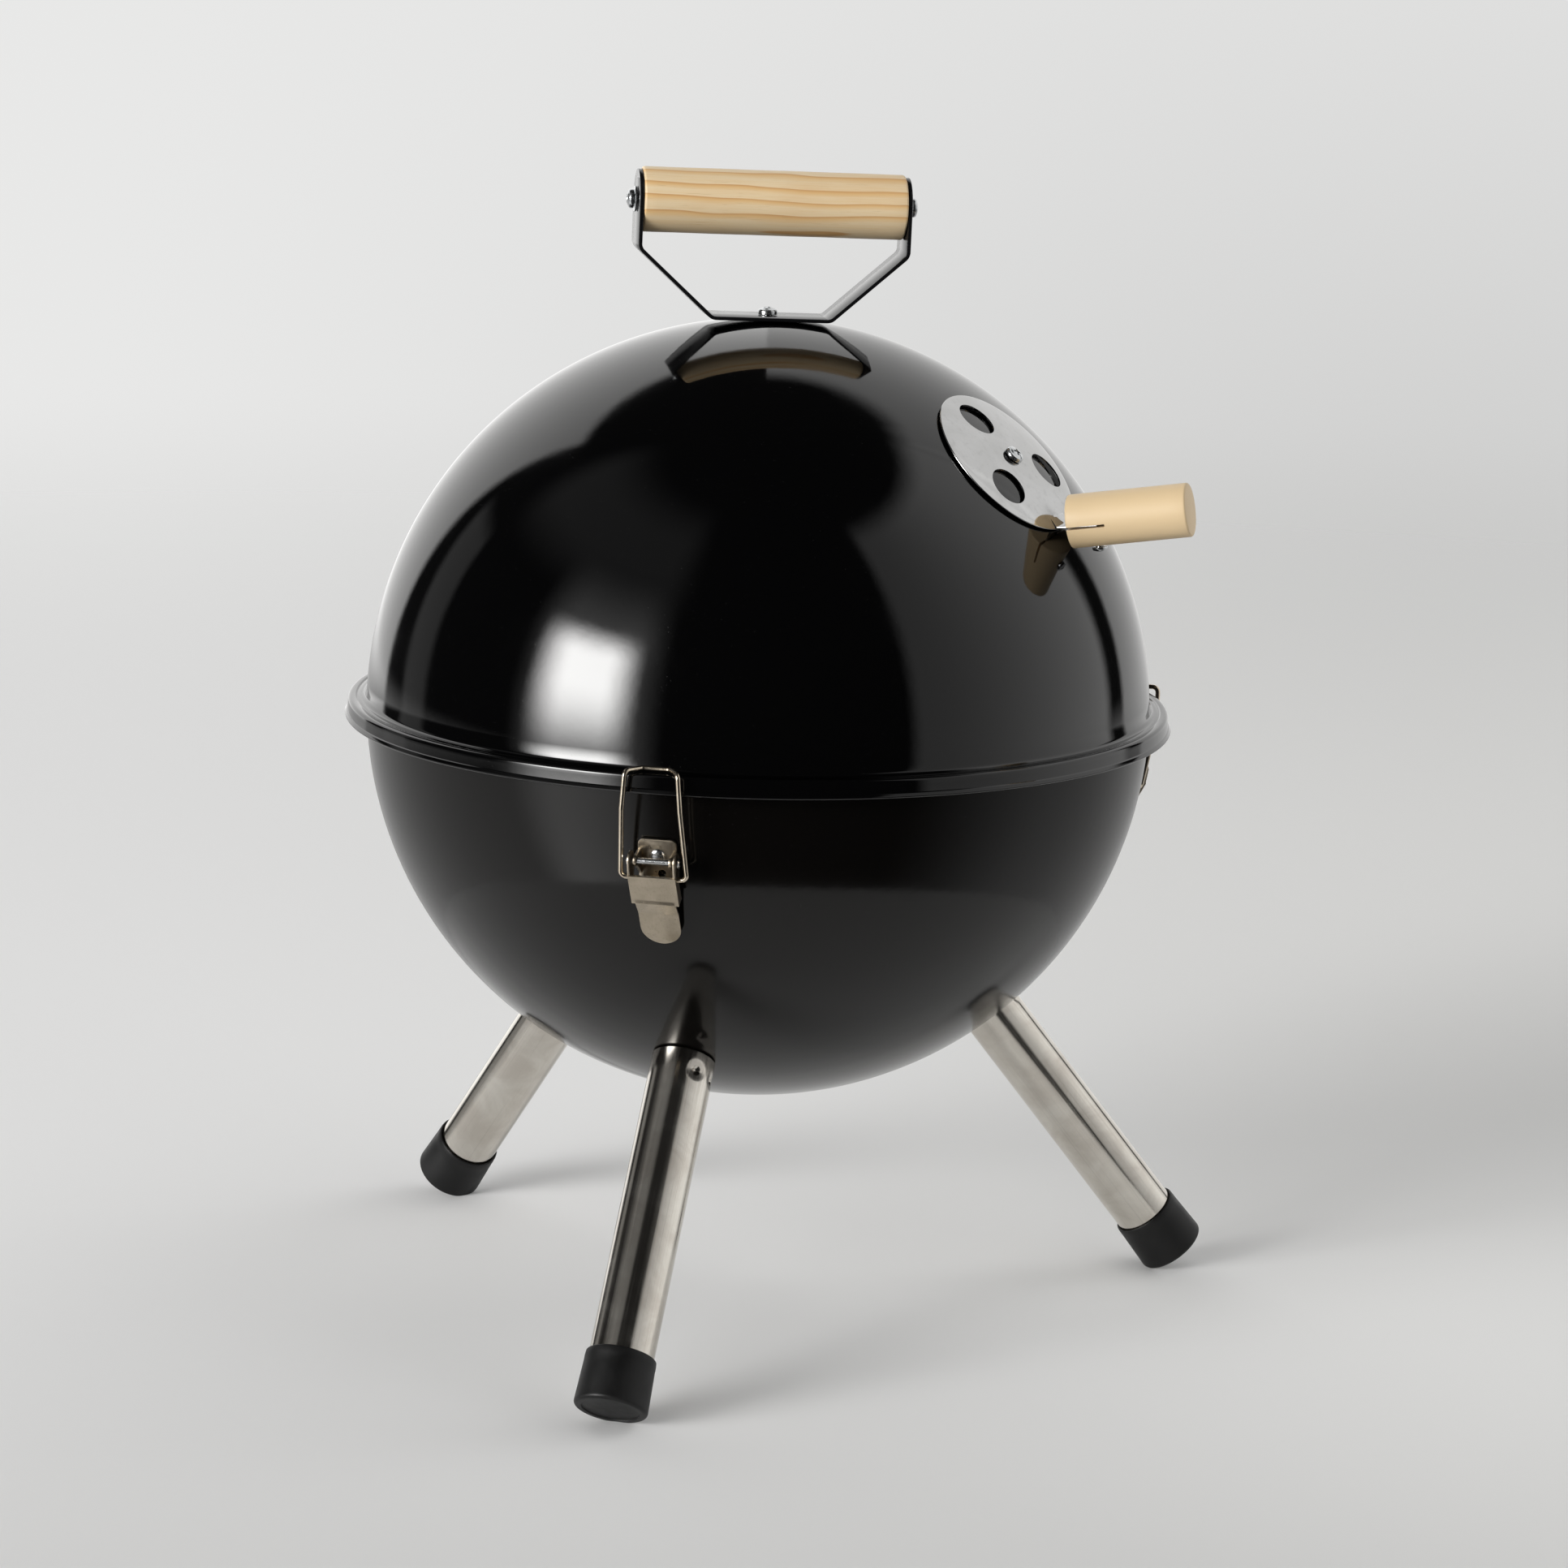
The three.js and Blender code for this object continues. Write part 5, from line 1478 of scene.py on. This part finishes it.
papers = [paper_ring("studio_paper_near", 0.0, NEAR_PAPER, True),
          paper_ring("studio_paper_far", NEAR_PAPER, FAR_PAPER, False)]
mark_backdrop(*papers)

# %% Room seen in the mirrors
world = bpy.data.worlds.new("studio")
bpy.context.scene.world = world
world.use_nodes = True
world.node_tree.nodes.clear()
room = Sheet(world.node_tree)
ray = room.node("ShaderNodeTexCoord")
toward = Vector((sin(CAMERA_AZIMUTH), -cos(CAMERA_AZIMUTH), 0))
rightward = Vector((cos(CAMERA_AZIMUTH), sin(CAMERA_AZIMUTH), 0))
side = room.node("ShaderNodeVectorMath", {"operation": "DOT_PRODUCT"}, {0: ray, 1: rightward}, out=1)
front = room.node("ShaderNodeVectorMath", {"operation": "DOT_PRODUCT"}, {0: ray, 1: toward}, out=1)
up = room.node("ShaderNodeSeparateXYZ", None, {0: ray}, out=2)
bearing = side.math("ARCTAN2", front) * (180 / pi)
height = up.math("ARCSINE") * (180 / pi)


def window(value, low, high, soft):
    """One between low and high, with soft edges."""
    return value.ramp(low - soft, low + soft) * value.ramp(high - soft, high + soft, 1.0, 0.0)


# The left backdrop's edge leans, so bearings there are taken along the slant.
slant = bearing + height * -0.26
right_wall = window(bearing, 46, 123, 3) * window(height, -8, 58, 4) * bearing.ramp(46, 110, 0.44, 0.97)
right_back = window(bearing, 133, 200, 2) * window(height, -8, 56, 4) * 0.9
right_top = window(bearing, 123, 133, 2) * window(height, 22, 57, 4) * 0.9
left_back = slant.ramp(-140, -136, 1.25, 0.0) * window(height, -8, 47, 2)
left_gap = window(bearing, -126, -113, 2) * window(height, -8, 26, 3) * 0.22
softbox = bearing.ramp(-73, -58) * bearing.ramp(-47, -34, 1.0, 0.0)
softbox = softbox * height.ramp(-11, 13) * height.ramp(19, 28, 1.0, 0.0) * 20.5
halo = bearing.ramp(-78, -60) * bearing.ramp(-42, -26, 1.0, 0.0) * height.ramp(22, 44, 1.0, 0.0)
upper_left = window(bearing, -110, -30, 8) * window(height, 38, 62, 8) * 0.14
below = height.ramp(-4, -10)
left_floor = below * bearing.ramp(-60, -35, 0.55, 0.0)
right_floor = below * bearing.ramp(40, 100, 0.0, 0.5)
near_floor = height.ramp(-36, -54) * window(bearing, -50, 60, 12) * 0.12
strength = 0.018 + right_wall + right_back + right_top + left_back + left_gap + softbox + halo * 0.9
strength = strength + upper_left + left_floor + right_floor + near_floor
glow = room.node("ShaderNodeBackground", None, {"Color": (1, 0.995, 0.985, 1), "Strength": strength})
# The backdrop itself is a little brighter on the left and falls off to the right and downwards.
falloff = side.ramp(-0.17, 0.17) * height.ramp(2, -13, 0.04, 0.24)
plain = room.node("ShaderNodeBackground", None, {"Color": (1, 1, 0.992, 1), "Strength": 0.81 - falloff})
seen = room.node("ShaderNodeLightPath")
room_mix = room.node("ShaderNodeMixShader", None, {0: seen, 1: glow, 2: plain})
room.node("ShaderNodeOutputWorld", None, {"Surface": room_mix})


# %% Lamps
def lamp(name, bearing_degrees, distance, height, size, power):
    """An area light at a bearing from the camera's side of the kettle, aimed at the kettle."""
    light = bpy.data.lights.new(name, "AREA")
    light.shape = "RECTANGLE"
    light.size, light.size_y = size
    light.energy = power
    holder = bpy.data.objects.new(name, light)
    bpy.context.scene.collection.objects.link(holder)
    angle = CAMERA_AZIMUTH + radians(bearing_degrees)
    holder.location = HEART + Vector((sin(angle) * distance, -cos(angle) * distance, height))
    aim = HEART - holder.location
    holder.rotation_euler = aim.to_track_quat("-Z", "Y").to_euler()
    holder.visible_glossy = False
    return holder


lamp("overhead", 0, 0.3, 2.4, (2.6, 2.6), 9)
lamp("front_left", -35, 2.3, 1.0, (1.4, 1.2), 12)
lamp("front_right", 45, 2.3, 0.7, (1.6, 1.0), 6)
lamp("back_right", 120, 2.2, 0.9, (1.4, 1.0), 8)

# %% Camera
LENS_MM = 109.2
CAMERA_DISTANCE = 1.95
CAMERA_ELEVATION = radians(10.7)
CAMERA_ROLL = radians(1.4)
AIM_RIGHT = radians(0.311)
AIM_DOWN = radians(0.9)
camera_data = bpy.data.cameras.new("camera")
camera_data.sensor_width = 36
camera_data.lens = LENS_MM
camera = bpy.data.objects.new("camera", camera_data)
bpy.context.scene.collection.objects.link(camera)
back_to = (toward * cos(CAMERA_ELEVATION) + Vector((0, 0, sin(CAMERA_ELEVATION)))).normalized()
look = (-back_to).to_track_quat("-Z", "Y").to_matrix().to_4x4()
look = look @ Matrix.Rotation(CAMERA_ROLL, 4, "Z")
look = look @ Matrix.Rotation(-AIM_RIGHT, 4, "Y") @ Matrix.Rotation(-AIM_DOWN, 4, "X")
camera.matrix_world = Matrix.Translation(HEART + back_to * CAMERA_DISTANCE) @ look
bpy.context.scene.camera = camera
bpy.context.scene.view_settings.view_transform = "Standard"
print("camera at:", [round(v, 3) for v in camera.location])

# %% Sizes kept for comparison
look_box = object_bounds()
growth = [round((b - a) * 1000, 2) for a, b in zip((*cad_box[0], *cad_box[1]), (*look_box[0], *look_box[1]))]
print("visual box less packed box, mm:", growth)
